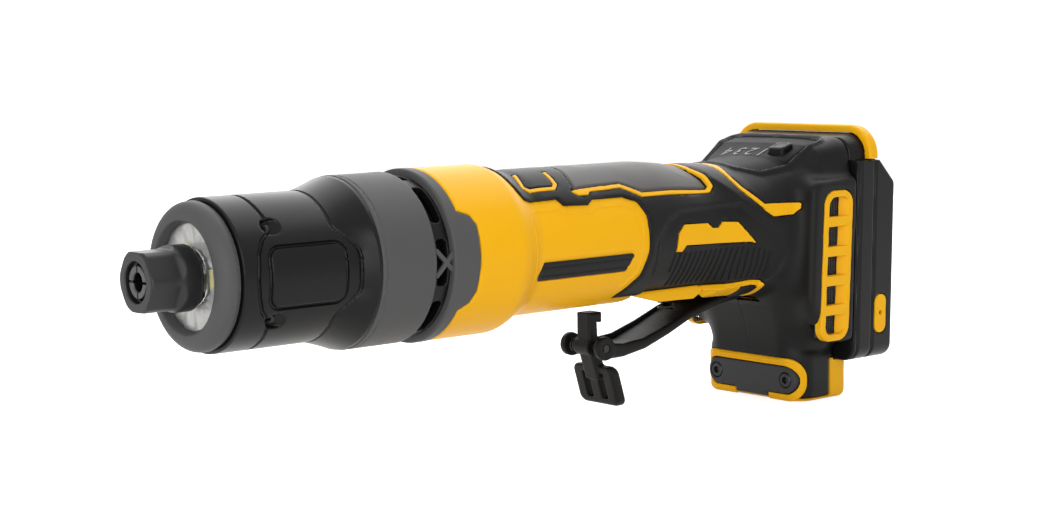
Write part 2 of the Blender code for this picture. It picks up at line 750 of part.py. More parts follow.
def make_nose():
    """Metal nose housing, the barrel round it and the screws that hold them together."""
    seat = FRONT_BEARING_RADIUS + GAP
    seat_rear = FRONT_BEARING_FRONT + FRONT_BEARING_WIDTH + GAP
    flange_rear = COLLAR_FRONT + FLANGE_LENGTH
    flange = COLLAR_RADIUS - COLLAR_WALL - GAP
    back_bore = seat - SEAT_STEP
    housing = turned("nose_housing", [
        (RING_REAR, NOSE_BORE_RADIUS), (RING_REAR, NOSE_TUBE_RADIUS), (COLLAR_FRONT, NOSE_TUBE_RADIUS),
        (COLLAR_FRONT, flange), (flange_rear, flange), (flange_rear, back_bore), (seat_rear, back_bore),
        (seat_rear, seat), (FRONT_BEARING_FRONT - GAP, seat), (FRONT_BEARING_FRONT - GAP, NOSE_BORE_RADIUS)])
    bore = NOSE_TUBE_RADIUS + GAP
    edge = (COLLAR_RADIUS - BARREL_RADIUS) / 4
    rear = COLLAR_FRONT - GAP
    steps = 5
    outer = [(RING_REAR, BARREL_RADIUS - edge), (RING_REAR + edge, BARREL_RADIUS)]
    for step in range(steps + 1):
        share = step / steps
        station = FLARE_START + (FLARE_LENGTH - FLARE_LAND) * share
        outer.append((station, blend(BARREL_RADIUS, COLLAR_RADIUS, share)))
    outer.append((rear, COLLAR_RADIUS))
    barrel = turned("nose_barrel", [(RING_REAR, bore)] + outer + [(rear, bore)], FINE)
    pocket_start = RING_REAR + SCREW_POCKET_START
    pocket_end = pocket_start + SCREW_POCKET_LENGTH
    hole = NOSE_SCREW_RADIUS + GAP
    pocket_radius = NOSE_SCREW_HEAD_RADIUS + POCKET_SHIFT + GAP
    for number, (y, height) in enumerate(nose_screw_places(), 1):
        outward = 1 + POCKET_SHIFT / SCREW_CIRCLE_RADIUS
        cut(barrel, rod("pocket", pocket_start, pocket_end, pocket_radius, (y * outward, height * outward)),
            rod("hole", pocket_end - GAP, COLLAR_FRONT + GAP, hole, (y, height)))
        cut(housing, rod("hole", COLLAR_FRONT - GAP, flange_rear + GAP, hole, (y, height)))
        head = pocket_end - GAP
        head_top = head - NOSE_SCREW_HEAD_LENGTH
        profile = [(head_top, 0.0), (head_top, NOSE_SCREW_HEAD_RADIUS), (head, NOSE_SCREW_HEAD_RADIUS),
                   (head, NOSE_SCREW_RADIUS), (flange_rear, NOSE_SCREW_RADIUS), (flange_rear, 0.0)]
        finish(turned(f"nose_screw_{number}", profile, BORE_SIDES, (y, height)), STEEL)
    finish(housing, CAST)
    finish(barrel, BLACK)


def make_collar():
    """Grey collar, slotted vent ring and the rim ring with its two side tabs."""
    bore = COLLAR_RADIUS - COLLAR_WALL
    finish(tube("collar", COLLAR_FRONT, COLLAR_REAR - GAP, bore, COLLAR_RADIUS, FINE), GREY)
    vent = tube("vent_ring", COLLAR_REAR, VENT_REAR - GAP, VENT_RADIUS - VENT_WALL, VENT_RADIUS, FINE)
    middle = (COLLAR_REAR + VENT_REAR - GAP) / 2
    for index in range(VENT_WINDOWS):
        angle = 2 * pi * index / VENT_WINDOWS
        stations = (middle - VENT_WINDOW_LENGTH / 2, middle + VENT_WINDOW_LENGTH / 2)
        radii = (VENT_RADIUS - 2 * VENT_WALL, VENT_RADIUS + VENT_WALL)
        cut(vent, radial_box(stations, radii, VENT_WINDOW_WIDTH, angle))
    finish(vent, BLACK)
    rim = tube("rim_ring", VENT_REAR, RIM_REAR - GAP, VENT_RADIUS - VENT_WALL, BODY_RADIUS, FINE)
    tab_end = RIM_REAR + RIM_TAB_LENGTH
    tab_bore = BODY_RADIUS - RIM_TAB_THICKNESS
    tabs = tube("tabs", RIM_REAR - RIM_LENGTH / 2, tab_end, tab_bore, BODY_RADIUS, FINE)
    band = (-RIM_TAB_HALF_HEIGHT, RIM_TAB_HALF_HEIGHT)
    common(tabs, block("band", (0, tab_end + RIM_LENGTH), (-2 * BODY_RADIUS, 2 * BODY_RADIUS), band))
    finish(join(rim, tabs), GREY)


# Motor

def make_motor():
    """Stator core, its windings, the end bell and the rear bearing's rubber sleeve."""
    outer = MOTOR_CAVITY_RADIUS - GAP
    finish(tube("stator_core", STATOR_FRONT, STEP_START - GAP, ROTOR_RADIUS + AIR_GAP, outer), STEEL)
    inner = ROTOR_RADIUS + WINDING_CLEARANCE
    length = WINDING_LENGTH - 2 * GAP
    fronts = {"front_winding": STATOR_FRONT - GAP - length, "rear_winding": STEP_START}
    for name, front in fronts.items():
        finish(tube(name, front, front + length, inner, inner + WINDING_THICKNESS), COPPER)
    sleeve = REAR_BEARING_RADIUS + GAP
    seat = sleeve + SLEEVE_WALL + GAP
    seat_rear = REAR_BEARING_FRONT + REAR_BEARING_WIDTH + GAP
    finish(tube("rear_bearing_sleeve", REAR_BEARING_FRONT, seat_rear - GAP, sleeve, sleeve + SLEEVE_WALL),
           SOFT)
    lip = SPINDLE_TAIL_RADIUS + BELL_WALL
    rim = GRIP_CAVITY_RADIUS - GAP
    bell = turned("motor_end_bell", [(REAR_BEARING_FRONT, seat), (REAR_BEARING_FRONT, rim), (BELL_REAR, rim),
                                     (BELL_REAR, lip), (seat_rear, lip), (seat_rear, seat)])
    finish(bell, CAST)


# Clamshell, overmould and foot

def head_sections(inset):
    """Stations of the head with half width, top, bottom and corner radius."""
    crown = ARCH_TOP - CROWN_DROP
    rows = [(-HEAD_LEAD, GRIP_RADIUS - HEAD_TUCK, GRIP_RADIUS - HEAD_TUCK, GRIP_RADIUS - HEAD_TUCK, 1.0),
            (0.13, GRIP_RADIUS + 0.3 * HEAD_TUCK, GRIP_RADIUS + 0.05 * HEAD_TUCK,
             GRIP_RADIUS + 0.05 * HEAD_TUCK, 0.66),
            (0.31, 0.5 * (GRIP_RADIUS + HEAD_HALF_WIDTH) - 0.3 * HEAD_TUCK, GRIP_RADIUS + 0.3 * HEAD_TUCK,
             GRIP_RADIUS + 0.7 * HEAD_TUCK, 0.60),
            (0.52, HEAD_HALF_WIDTH - HEAD_TUCK, GRIP_RADIUS + 0.5 * HEAD_TUCK,
             GRIP_RADIUS + 2 * HEAD_TUCK, 0.55),
            (0.67, HEAD_HALF_WIDTH, GRIP_RADIUS + HEAD_TUCK, GRIP_RADIUS + 5 * HEAD_TUCK, 0.50),
            (0.80, HEAD_HALF_WIDTH, 0.5 * (GRIP_RADIUS + crown) + 0.5 * HEAD_TUCK,
             GRIP_RADIUS + 9 * HEAD_TUCK, 0.52),
            (0.91, HEAD_HALF_WIDTH, crown, -FRAME_BOTTOM - 2 * HEAD_TUCK, 0.58),
            (1.00, HEAD_HALF_WIDTH, crown, -FRAME_BOTTOM - 2 * HEAD_TUCK, 0.58)]
    sections = []
    for share, half, top, bottom, corner in rows:
        station = HEAD_START + share * (HEAD_LENGTH + inset)
        radius = min(corner * half, half - TINY, (top + bottom) / 2 - TINY)
        sections.append((station, half - inset, top - inset, bottom - inset, radius - inset))
    return sections


def head_top(station):
    """Height of the head's top at a station."""
    sections = head_sections(0.0)
    for before, after in zip(sections, sections[1:]):
        if station <= after[0]:
            share = (station - before[0]) / (after[0] - before[0])
            return before[2] + (after[2] - before[2]) * share
    return sections[-1][2]


def head_solid(inset):
    """Head that grows from the round grip into the battery foot."""
    rings = []
    for station, half, top, bottom, radius in head_sections(inset):
        corners = [(half, top), (-half, top), (-half, -bottom), (half, -bottom)]
        outline = rounded(corners, radius, 4)
        rings.append([(at(station), y, up(height)) for y, height in outline])
    return loft("head", rings)


def body_solid(inset):
    """Outer shape of the clamshell, or the same shape with its skin taken off."""
    steps = 6
    profile = [(RIM_REAR, 0.0), (RIM_REAR, BODY_RADIUS - inset)]
    for step in range(steps + 1):
        share = step / steps
        profile.append((STEP_START + STEP_LENGTH * share, blend(BODY_RADIUS, GRIP_RADIUS, share) - inset))
    grip_end = HEAD_START + 0.13 * HEAD_LENGTH
    profile += [(grip_end, GRIP_RADIUS - inset), (grip_end, 0.0)]
    body = turned("body", profile, FINE)
    rear = FRAME_FRONT + inset
    half = TRUNK_HALF_WIDTH - inset
    front = HEAD_START + TRUNK_SETBACK + inset
    trunk = rounded([(front, -half), (rear, -half), (rear, half), (front, half)],
                    [TRUNK_CORNER - inset, 0.0, 0.0, TRUNK_CORNER - inset])
    half = BLOCK_HALF_WIDTH - inset
    front = BLOCK_FRONT + inset
    tail = rear + BLOCK_TAIL
    pod_front = POD_FRONT + inset
    low = POD_BOTTOM + inset
    high = POD_TOP - inset
    pod = rounded([(pod_front, low), (rear, low), (rear, high), (pod_front, high)],
                  [POD_CORNER, 0.0, 0.0, POD_CORNER])
    side = POD_HALF_WIDTH - inset
    join(body, head_solid(inset),
         prism("trunk", trunk, BLOCK_TOP - SHELL_WALL, PADDLE_PIVOT_HEIGHT + SHELL_WALL, "Z"),
         prism("pod", pod, -side, side))
    block = rounded([(front, -half), (rear, -half), (rear, half), (front, half)],
                    [BLOCK_CORNER - inset, 0.0, 0.0, BLOCK_CORNER - inset])
    join(body, prism("block", block, -FOOT_DEPTH + inset, BLOCK_TOP - inset, "Z"))
    inner = rear - SHELL_WALL
    half -= GAP
    heel = rounded([(inner, -half), (tail, -half), (tail, half), (inner, half)],
                   [0.0, BLOCK_CORNER / 2, BLOCK_CORNER / 2, 0.0])
    join(body, prism("heel", heel, -FOOT_DEPTH + inset + GAP, FRAME_BOTTOM - GAP, "Z"))
    return body


def overmould_region():
    """Side view of where the black overmould lies, carried through the whole width."""
    far = 2 * FOOT_DEPTH
    tongue = GRIP_START - 0.65 * STEP_LENGTH
    low = CHANNEL_HEIGHT - GAP
    toe = HEAD_START + TRUNK_SETBACK - SHELL_WALL
    outline = [(tongue, far), (tongue, 0.65 * GRIP_RADIUS),
               (GRIP_START + 0.12 * GRIP_LENGTH, 0.57 * GRIP_RADIUS),
               (GRIP_START + 0.37 * GRIP_LENGTH, 0.53 * GRIP_RADIUS),
               (GRIP_START + 0.51 * GRIP_LENGTH, 0.34 * GRIP_RADIUS),
               (GRIP_START + 0.53 * GRIP_LENGTH, -0.31 * GRIP_RADIUS), (GRIP_START + 0.37 * GRIP_LENGTH, low),
               (toe, low), (toe, -far), (BLOCK_FRONT + BLOCK_CORNER, -far),
               (BLOCK_FRONT + BLOCK_CORNER, -FOOT_DEPTH + OVERMOULD_THICKNESS),
               (FRAME_FRONT - SHELL_WALL, FRAME_BOTTOM), (TOTAL_LENGTH, FRAME_BOTTOM),
               (TOTAL_LENGTH, far)]
    return prism("region", outline, -far, far)


def grip_recess():
    """Shallow hollow in each side of the overmould, behind the yellow front, for the hand's grip."""
    far = 2 * FOOT_DEPTH
    low = CHANNEL_HEIGHT + OVERMOULD_THICKNESS
    edge = [(HEAD_START + share * HEAD_LENGTH, height) for share, height in RECESS_EDGE]
    outline = [(edge[-1][0], low)] + edge[::-1] + [(edge[0][0], low)]
    return cut(prism("recess", outline, -far, far), body_solid(RECESS_DEPTH))


def cavity():
    """Hollow of the clamshell: motor, grip, head and trunk."""
    grip_end = HEAD_START + 0.42 * HEAD_LENGTH
    hollow = turned("cavity", [
        (RIM_REAR - RIM_LENGTH, 0.0), (RIM_REAR - RIM_LENGTH, MOTOR_CAVITY_RADIUS),
        (STEP_START, MOTOR_CAVITY_RADIUS), (GRIP_START, GRIP_CAVITY_RADIUS), (grip_end, GRIP_CAVITY_RADIUS),
        (grip_end, 0.0)])
    floor_start = BELL_REAR + GAP
    cut(hollow, block("floor", (floor_start, TOTAL_LENGTH), (-GRIP_RADIUS, GRIP_RADIUS),
                      (-2 * GRIP_RADIUS, FLOOR_HEIGHT)))
    rear = FRAME_FRONT - SHELL_WALL
    head_half = HEAD_HALF_WIDTH - 2.7 * SHELL_WALL
    trunk_half = TRUNK_HALF_WIDTH - 1.6 * SHELL_WALL
    join(hollow, block("head", (grip_end - SHELL_WALL, rear), (-head_half, head_half),
                       (FLOOR_HEIGHT, GRIP_RADIUS - 3.5 * SHELL_WALL)),
         block("trunk", (BLOCK_FRONT + 1.7 * SHELL_WALL, rear), (-trunk_half, trunk_half),
               (-FOOT_DEPTH + SHELL_WALL, FLOOR_HEIGHT + SHELL_WALL)))
    return hollow


def louvre_outline(grow):
    """Side view of a louvre, with its rounded corners, grown by a clearance."""
    low = LOUVRE_FRONT - grow
    high = LOUVRE_FRONT + LOUVRE_LENGTH + grow
    corners = [(low, LOUVRE_BOTTOM - grow), (high, LOUVRE_BOTTOM - grow), (high, LOUVRE_TOP + grow),
               (low, LOUVRE_TOP + grow)]
    return rounded(corners, LOUVRE_RIM + LOUVRE_BAR + grow)


def cover_outline(grow):
    """Front view of the chip cover, a plate with round ends, grown by a clearance."""
    half = COVER_HALF_WIDTH + grow
    tall = COVER_HEIGHT / 2 + grow
    corners = [(-half, COVER_CENTRE - tall), (half, COVER_CENTRE - tall), (half, COVER_CENTRE + tall),
               (-half, COVER_CENTRE + tall)]
    return rounded(corners, 0.9 * tall)


def case_screws():
    """Name, station, height and head place of each clamshell screw."""
    return [("grip_case_screw", GRIP_START + GRIP_SCREW_SETBACK, GRIP_SCREW_HEIGHT, GRIP_SCREW_TOP),
            ("head_case_screw", HEAD_START + HEAD_SCREW_SETBACK, HEAD_SCREW_HEIGHT, HEAD_SCREW_TOP)]


def shell_cutters():
    """Solids taken out of the clamshell and the overmould alike."""
    tools = []
    slack = GAP
    tab_end = RIM_REAR + RIM_TAB_LENGTH + slack
    recess = tube("recess", RIM_REAR - RIM_LENGTH, tab_end, BODY_RADIUS - RIM_TAB_THICKNESS - slack,
                  2 * BODY_RADIUS, FINE)
    band = RIM_TAB_HALF_HEIGHT + slack
    across = (-3 * BODY_RADIUS, 3 * BODY_RADIUS)
    tools.append(common(recess, block("band", (0, TOTAL_LENGTH), across, (-band, band))))
    depth = LOUVRE_THICKNESS + FILTER_THICKNESS + 2 * GAP
    wall = 3 * SHELL_WALL
    duct = (LOUVRE_FRONT + LOUVRE_RIM, LOUVRE_FRONT + LOUVRE_LENGTH - LOUVRE_RIM)
    for side in (-1, 1):
        face = side * POD_HALF_WIDTH
        low, high = sorted((face - side * depth, face + side * depth))
        tools.append(prism("pocket", louvre_outline(GAP), low, high))
        low, high = sorted((face, face - side * (depth + wall)))
        tools.append(block("duct", duct, (low, high), (FLOOR_HEIGHT + GAP, LOUVRE_TOP - LOUVRE_RIM)))
    cover_floor = BLOCK_FRONT - COVER_PROUD + COVER_THICKNESS + GAP
    tools.append(prism("cover", cover_outline(GAP), BLOCK_FRONT - SHELL_WALL, cover_floor, "X"))
    for side in (-1, 1):
        place = (side * COVER_SCREW_OFFSET, COVER_CENTRE)
        tools.append(rod("screw", cover_floor - GAP, cover_floor + COVER_SCREW_LENGTH + GAP,
                         COVER_SCREW_RADIUS + GAP, place))
    half = PADDLE_HALF_WIDTH + 4 * GAP
    channel_rear = PADDLE_PIVOT + PADDLE_HUB_RADIUS + 4 * GAP
    under = -FOOT_DEPTH + BLOCK_HEIGHT + SHELL_WALL
    channel_front = LEVER_PIVOT + LEVER_HOOK_REACH + LEVER_ARM_THICKNESS + 4 * GAP
    tools.append(block("channel", (channel_front, channel_rear), (-half, half), (under, CHANNEL_HEIGHT)))
    half = LEVER_ARM_HALF_WIDTH + 3 * GAP
    reach = LEVER_HOOK_REACH + LEVER_ARM_THICKNESS
    tools.append(block("lever", (LEVER_PIVOT - reach, channel_front + GAP), (-half, half),
                       (under, LEVER_POCKET_TOP)))
    pin = PADDLE_HALF_WIDTH + PIN_END
    tools.append(rod("pin", -pin - GAP, pin + GAP, PADDLE_PIN_RADIUS + GAP,
                     (PADDLE_PIVOT, PADDLE_PIVOT_HEIGHT), "Y"))
    tools.append(rod("plunger", CHANNEL_HEIGHT - GAP, FLOOR_HEIGHT + GAP, PLUNGER_RADIUS + GAP,
                     (SWITCH_STATION, 0.0), "Z"))
    half = TERMINAL_HALF_WIDTH + GAP
    tools.append(block("terminals", (FRAME_FRONT - 2 * SHELL_WALL, TOTAL_LENGTH), (-half, half),
                       (TERMINAL_TOP - TERMINAL_HEIGHT - GAP, TERMINAL_TOP + GAP)))
    station = HEAD_START + BUTTON_SETBACK
    sink = BUTTON_STEM + BUTTON_TRAVEL + GAP
    tools.append(rod("button", head_top(station) - sink, head_top(station) + SHELL_WALL, BUTTON_RADIUS + GAP,
                     (station, BUTTON_OFFSET), "Z"))
    for name, station, height, top in case_screws():
        place = (station, height)
        tools.append(rod(name, top - CASE_SCREW_LENGTH - GAP, top, CASE_SCREW_RADIUS + GAP, place, "Y"))
        tools.append(rod(name, top - CASE_SCREW_HEAD_LENGTH - GAP, POD_HALF_WIDTH,
                         CASE_SCREW_HEAD_RADIUS + GAP, place, "Y"))
    return tools


def make_shells():
    """Two yellow clamshell halves and the black overmould on each of them."""
    outer = body_solid(0.0)
    skin = cut(common(copy(outer, "skin"), overmould_region()), body_solid(OVERMOULD_THICKNESS - GAP))
    room = cut(overmould_region(), body_solid(OVERMOULD_THICKNESS))
    shell = cut(outer, room, cavity())
    cut(skin, grip_recess())
    for tool in shell_cutters():
        cut(skin, copy(tool, "tool"))
        cut(shell, tool)
    for side, name in ((-1, "left"), (1, "right")):
        finish(common(copy(shell, name + "_housing"), half_box(side)), YELLOW)
        finish(common(copy(skin, name + "_overmould"), half_box(side)), BLACK)
    bpy.data.objects.remove(shell)
    bpy.data.objects.remove(skin)
    for name, station, height, top in case_screws():
        neck = top - CASE_SCREW_HEAD_LENGTH
        profile = [(top - CASE_SCREW_LENGTH, 0.0), (top - CASE_SCREW_LENGTH, CASE_SCREW_RADIUS),
                   (neck, CASE_SCREW_RADIUS), (neck, CASE_SCREW_HEAD_RADIUS), (top, CASE_SCREW_HEAD_RADIUS),
                   (top, 0.0)]
        finish(turned(name, profile, BORE_SIDES, (station, height), "Y"), STEEL)


def make_grip_pad():
    """Soft pad on the top of the grip, thickest along its middle."""
    start = GRIP_START + PAD_START
    end = start + PAD_LENGTH
    inner = GRIP_RADIUS + GAP
    columns = 10
    rings = []
    for station, share in ((start, 0.0), (start + PAD_RAMP, 1.0), (end - 3 * PAD_RAMP, 1.0), (end, 0.0)):
        low = []
        high = []
        for column in range(columns + 1):
            angle = radians(PAD_HALF_ANGLE) * (2 * column / columns - 1)
            rise = PAD_EDGE_THICKNESS + (PAD_THICKNESS - PAD_EDGE_THICKNESS) * share * cos(pi / 2 * (
                2 * column / columns - 1))
            low.append((at(station), inner * sin(angle), up(inner * cos(angle))))
            high.append((at(station), (inner + rise) * sin(angle), up((inner + rise) * cos(angle))))
        rings.append(low + high[::-1])
    finish(loft("grip_pad", rings), SOFT)


def make_louvres():
    """Yellow louvre and dust mesh in each side of the foot."""
    windows = LOUVRE_BARS + 1
    inside = LOUVRE_TOP - LOUVRE_BOTTOM - 2 * LOUVRE_RIM
    height = (inside - LOUVRE_BARS * LOUVRE_BAR) / windows
    for side, name in ((-1, "left"), (1, "right")):
        face = side * POD_HALF_WIDTH
        back = face - side * LOUVRE_THICKNESS
        low, high = sorted((face, back))
        louvre = prism(name + "_louvre", louvre_outline(0.0), low, high)
        for index in range(windows):
            bottom = LOUVRE_BOTTOM + LOUVRE_RIM + index * (height + LOUVRE_BAR)
            stations = (LOUVRE_FRONT + LOUVRE_RIM, LOUVRE_FRONT + LOUVRE_LENGTH - LOUVRE_RIM)
            cut(louvre, block("window", stations, (low - GAP, high + GAP), (bottom, bottom + height)))
        finish(louvre, YELLOW)
        low, high = sorted((back - side * GAP, back - side * (GAP + FILTER_THICKNESS)))
        finish(prism(name + "_filter", louvre_outline(0.0), low, high), BLACK)


# Battery frame

def arch_outline(inset):
    """Front view of the foot above its shoulders, where the bumper runs."""
    half = FRAME_HALF_WIDTH - inset
    top = ARCH_TOP - inset
    radius = ARCH_RADIUS - inset
    return rounded([(half, ARCH_SHOULDER), (half, top), (-half, top), (-half, ARCH_SHOULDER)],
                   [0.0, radius, radius, 0.0], 4)


def make_frame():
    """Battery frame with its rails, and the yellow bumper over it."""
    front = FRAME_FRONT + GAP
    rear = TOTAL_LENGTH
    shoulder = ARCH_SHOULDER - GAP
    half = FRAME_HALF_WIDTH
    lower = rounded([(-half, FRAME_BOTTOM), (half, FRAME_BOTTOM), (half, shoulder), (-half, shoulder)],
                    [FRAME_CORNER, FRAME_CORNER, 0.0, 0.0])
    frame = prism("battery_frame", lower, front, rear, "X")
    bumper_rear = BUMPER_FRONT + BUMPER_LENGTH
    under = arch_outline(BUMPER_THICKNESS + GAP)[1:-1]
    low = shoulder - FRAME_WALL
    crown = [(under[0][0], low)] + under + [(under[-1][0], low)]
    join(frame, prism("crown", crown, front, bumper_rear, "X"))
    wedge = [(rear - FRAME_REAR_CHAMFER, ARCH_TOP), (rear - FRAME_REAR_CHAMFER, ARCH_SHOULDER),
             (rear + GAP, ARCH_SHOULDER - FRAME_REAR_CHAMFER), (rear + GAP, ARCH_TOP)]
    base = front + FRAME_WALL
    groove_rear = rear - RAIL_LIP
    low = FRAME_BOTTOM - FRAME_WALL
    slot = TERMINAL_HALF_WIDTH + GAP
    cut(frame, prism("wedge", wedge, -2 * half, 2 * half),
        block("groove", (base, groove_rear), (-RAIL_GROOVE, RAIL_GROOVE), (low, RAIL_TOP)),
        block("mouth", (groove_rear - GAP, rear + GAP), (-RAIL_OPENING, RAIL_OPENING), (low, RAIL_TOP)),
        block("slot", (front - GAP, base + GAP), (-slot, slot),
              (TERMINAL_TOP - TERMINAL_HEIGHT - GAP, TERMINAL_TOP + GAP)))
    half = BLOCK_HALF_WIDTH + GAP
    cut(frame, block("sole", (front - GAP, FRAME_FRONT + BLOCK_TAIL + GAP), (-half, half),
                     (low, FRAME_BOTTOM)))
    finish(frame, BLACK)
    band = arch_outline(0.0) + arch_outline(BUMPER_THICKNESS)[::-1]
    finish(prism("bumper", band, BUMPER_FRONT, bumper_rear, "X"), YELLOW)


def make_terminals():
    """Terminal block that reaches through the foot's rear wall, and its blades."""
    rear = FRAME_FRONT + TERMINAL_DEPTH
    heights = (TERMINAL_TOP - TERMINAL_HEIGHT, TERMINAL_TOP)
    front = FRAME_FRONT - SHELL_WALL - TERMINAL_BASE
    terminals = block("terminal_block", (front, rear), (-TERMINAL_HALF_WIDTH, TERMINAL_HALF_WIDTH), heights)
    middle = sum(heights) / 2
    first = -BLADE_PITCH * (BLADE_COUNT - 1) / 2
    slot_front = rear - BLADE_LENGTH / 2
    for index in range(BLADE_COUNT):
        y = first + index * BLADE_PITCH
        half = BLADE_THICKNESS / 2
        tall = BLADE_HEIGHT / 2
        cut(terminals, block("slot", (slot_front - GAP, rear + GAP), (y - half - GAP, y + half + GAP),
                             (middle - tall - GAP, middle + tall + GAP)))
        blade = block(f"terminal_blade_{index + 1}", (slot_front, slot_front + BLADE_LENGTH),
                      (y - half, y + half), (middle - tall, middle + tall))
        finish(blade, BRASS)
    finish(terminals, BLACK)


def make_chip_cover():
    """Grey cover plate low on the foot's front, with its two screws."""
    front = BLOCK_FRONT - COVER_PROUD
    rear = front + COVER_THICKNESS
    cover = prism("chip_cover", cover_outline(0.0), front, rear, "X")
    seat = front + COVER_SCREW_HEAD_LENGTH + GAP
    for side, name in ((-1, "left"), (1, "right")):
        place = (side * COVER_SCREW_OFFSET, COVER_CENTRE)
        wide = COVER_SCREW_HEAD_RADIUS + GAP
        narrow = COVER_SCREW_RADIUS + GAP
        hole = [(front - GAP, 0.0), (front - GAP, wide), (seat, wide), (seat, narrow), (rear + GAP, narrow),
                (rear + GAP, 0.0)]
        cut(cover, turned("hole", hole, BORE_SIDES, place))
        head = seat - GAP
        tip = rear + COVER_SCREW_LENGTH
        profile = [(front, 0.0), (front, COVER_SCREW_HEAD_RADIUS), (head, COVER_SCREW_HEAD_RADIUS),
                   (head, COVER_SCREW_RADIUS), (tip, COVER_SCREW_RADIUS), (tip, 0.0)]
        finish(turned(name + "_cover_screw", profile, BORE_SIDES, place), BLACK_STEEL)
    finish(cover, GREY)


# Display and speed button

def make_display():
    """Display panel that follows the head's top, and the speed button in it."""
    front = HEAD_START + PANEL_FRONT
    rear = front + PANEL_LENGTH
    stations = [front] + [row[0] for row in head_sections(0.0) if front < row[0] < rear] + [rear]
    low = [(station, head_top(station) + GAP) for station in stations]
    high = [(station, height + PANEL_THICKNESS) for station, height in low]
    panel = prism("display_panel", low + high[::-1], -2 * PANEL_HALF_REAR, 2 * PANEL_HALF_REAR)
    plan = [(front, -PANEL_HALF_FRONT), (rear, -PANEL_HALF_REAR), (rear, PANEL_HALF_REAR),
            (front, PANEL_HALF_FRONT)]
    common(panel, prism("plan", plan, 0.0, 2 * ARCH_TOP, "Z"))
    station = HEAD_START + BUTTON_SETBACK
    surface = head_top(station)
    place = (station, BUTTON_OFFSET)
    cut(panel, rod("hole", surface - SHELL_WALL, surface + 2 * SHELL_WALL, BUTTON_RADIUS + GAP, place, "Z"))
    finish(panel, BLACK)
    top = surface + GAP + PANEL_THICKNESS + BUTTON_PROUD
    button = rod("speed_button", surface - BUTTON_STEM, top, BUTTON_RADIUS, place, "Z", 6)
    on_axis(finish(button, BLACK), (station, BUTTON_OFFSET, surface))


# Paddle, lever and switch

def paddle_edge(distance):
    """Height of the paddle's lower edge below its pivot at a distance in front of it."""
    points = PADDLE_LOWER_EDGE
    for before, after in zip(points, points[1:]):
        if distance <= after[0]:
            share = (distance - before[0]) / (after[0] - before[0])
            return before[1] + (after[1] - before[1]) * share
    return points[-1][1]


def make_paddle():
    """Paddle: a long trough with a hub at the rear and two ears for the lever at the front."""
    def place(distance, drop):
        return (PADDLE_PIVOT - distance, PADDLE_PIVOT_HEIGHT + drop)
    lower = [place(distance, drop) for distance, drop in PADDLE_LOWER_EDGE]
    upper = [place(distance, drop) for distance, drop in PADDLE_UPPER_EDGE]
    paddle = prism("paddle", lower + upper[::-1], -PADDLE_HALF_WIDTH, PADDLE_HALF_WIDTH)
    inside = PADDLE_HALF_WIDTH - PADDLE_WALL
    floor = [place(distance, drop + PADDLE_WALL) for distance, drop in PADDLE_LOWER_EDGE[1:]]
    far = PADDLE_HALF_WIDTH
    hollow = floor + [(floor[-1][0], floor[-1][1] + 2 * far), (floor[0][0], floor[0][1] + 2 * far)]
    nose = PADDLE_LENGTH - EAR_RADIUS - LEVER_ARM_THICKNESS
    opening = [place(nose, -2 * far), place(PADDLE_LENGTH + far, -2 * far), place(PADDLE_LENGTH + far, far),
               place(nose, far)]
    hub_place = (PADDLE_PIVOT, PADDLE_PIVOT_HEIGHT)
    ear_place = (LEVER_PIVOT, LEVER_PIVOT_HEIGHT)
    cut(paddle, prism("hollow", hollow, -inside, inside))
    join(paddle, rod("hub", -PADDLE_HALF_WIDTH, PADDLE_HALF_WIDTH, PADDLE_HUB_RADIUS, hub_place, "Y", COARSE),
         rod("ears", -PADDLE_HALF_WIDTH, PADDLE_HALF_WIDTH, EAR_RADIUS, ear_place, "Y", COARSE))
    cut(paddle, prism("opening", opening, -EAR_INNER, EAR_INNER),
        rod("pin", -2 * far, 2 * far, PADDLE_PIN_RADIUS + RUNNING_GAP, hub_place, "Y"),
        rod("pin", -2 * far, 2 * far, LEVER_PIN_RADIUS + GAP, ear_place, "Y"))
    on_axis(finish(paddle, BLACK), (PADDLE_PIVOT, 0, PADDLE_PIVOT_HEIGHT))
    reach = PADDLE_HALF_WIDTH + PIN_END
    finish(rod("paddle_pin", -reach, reach, PADDLE_PIN_RADIUS, hub_place, "Y"), STEEL)
    finish(rod("lever_pin", -PADDLE_HALF_WIDTH, PADDLE_HALF_WIDTH, LEVER_PIN_RADIUS, ear_place, "Y"), STEEL)


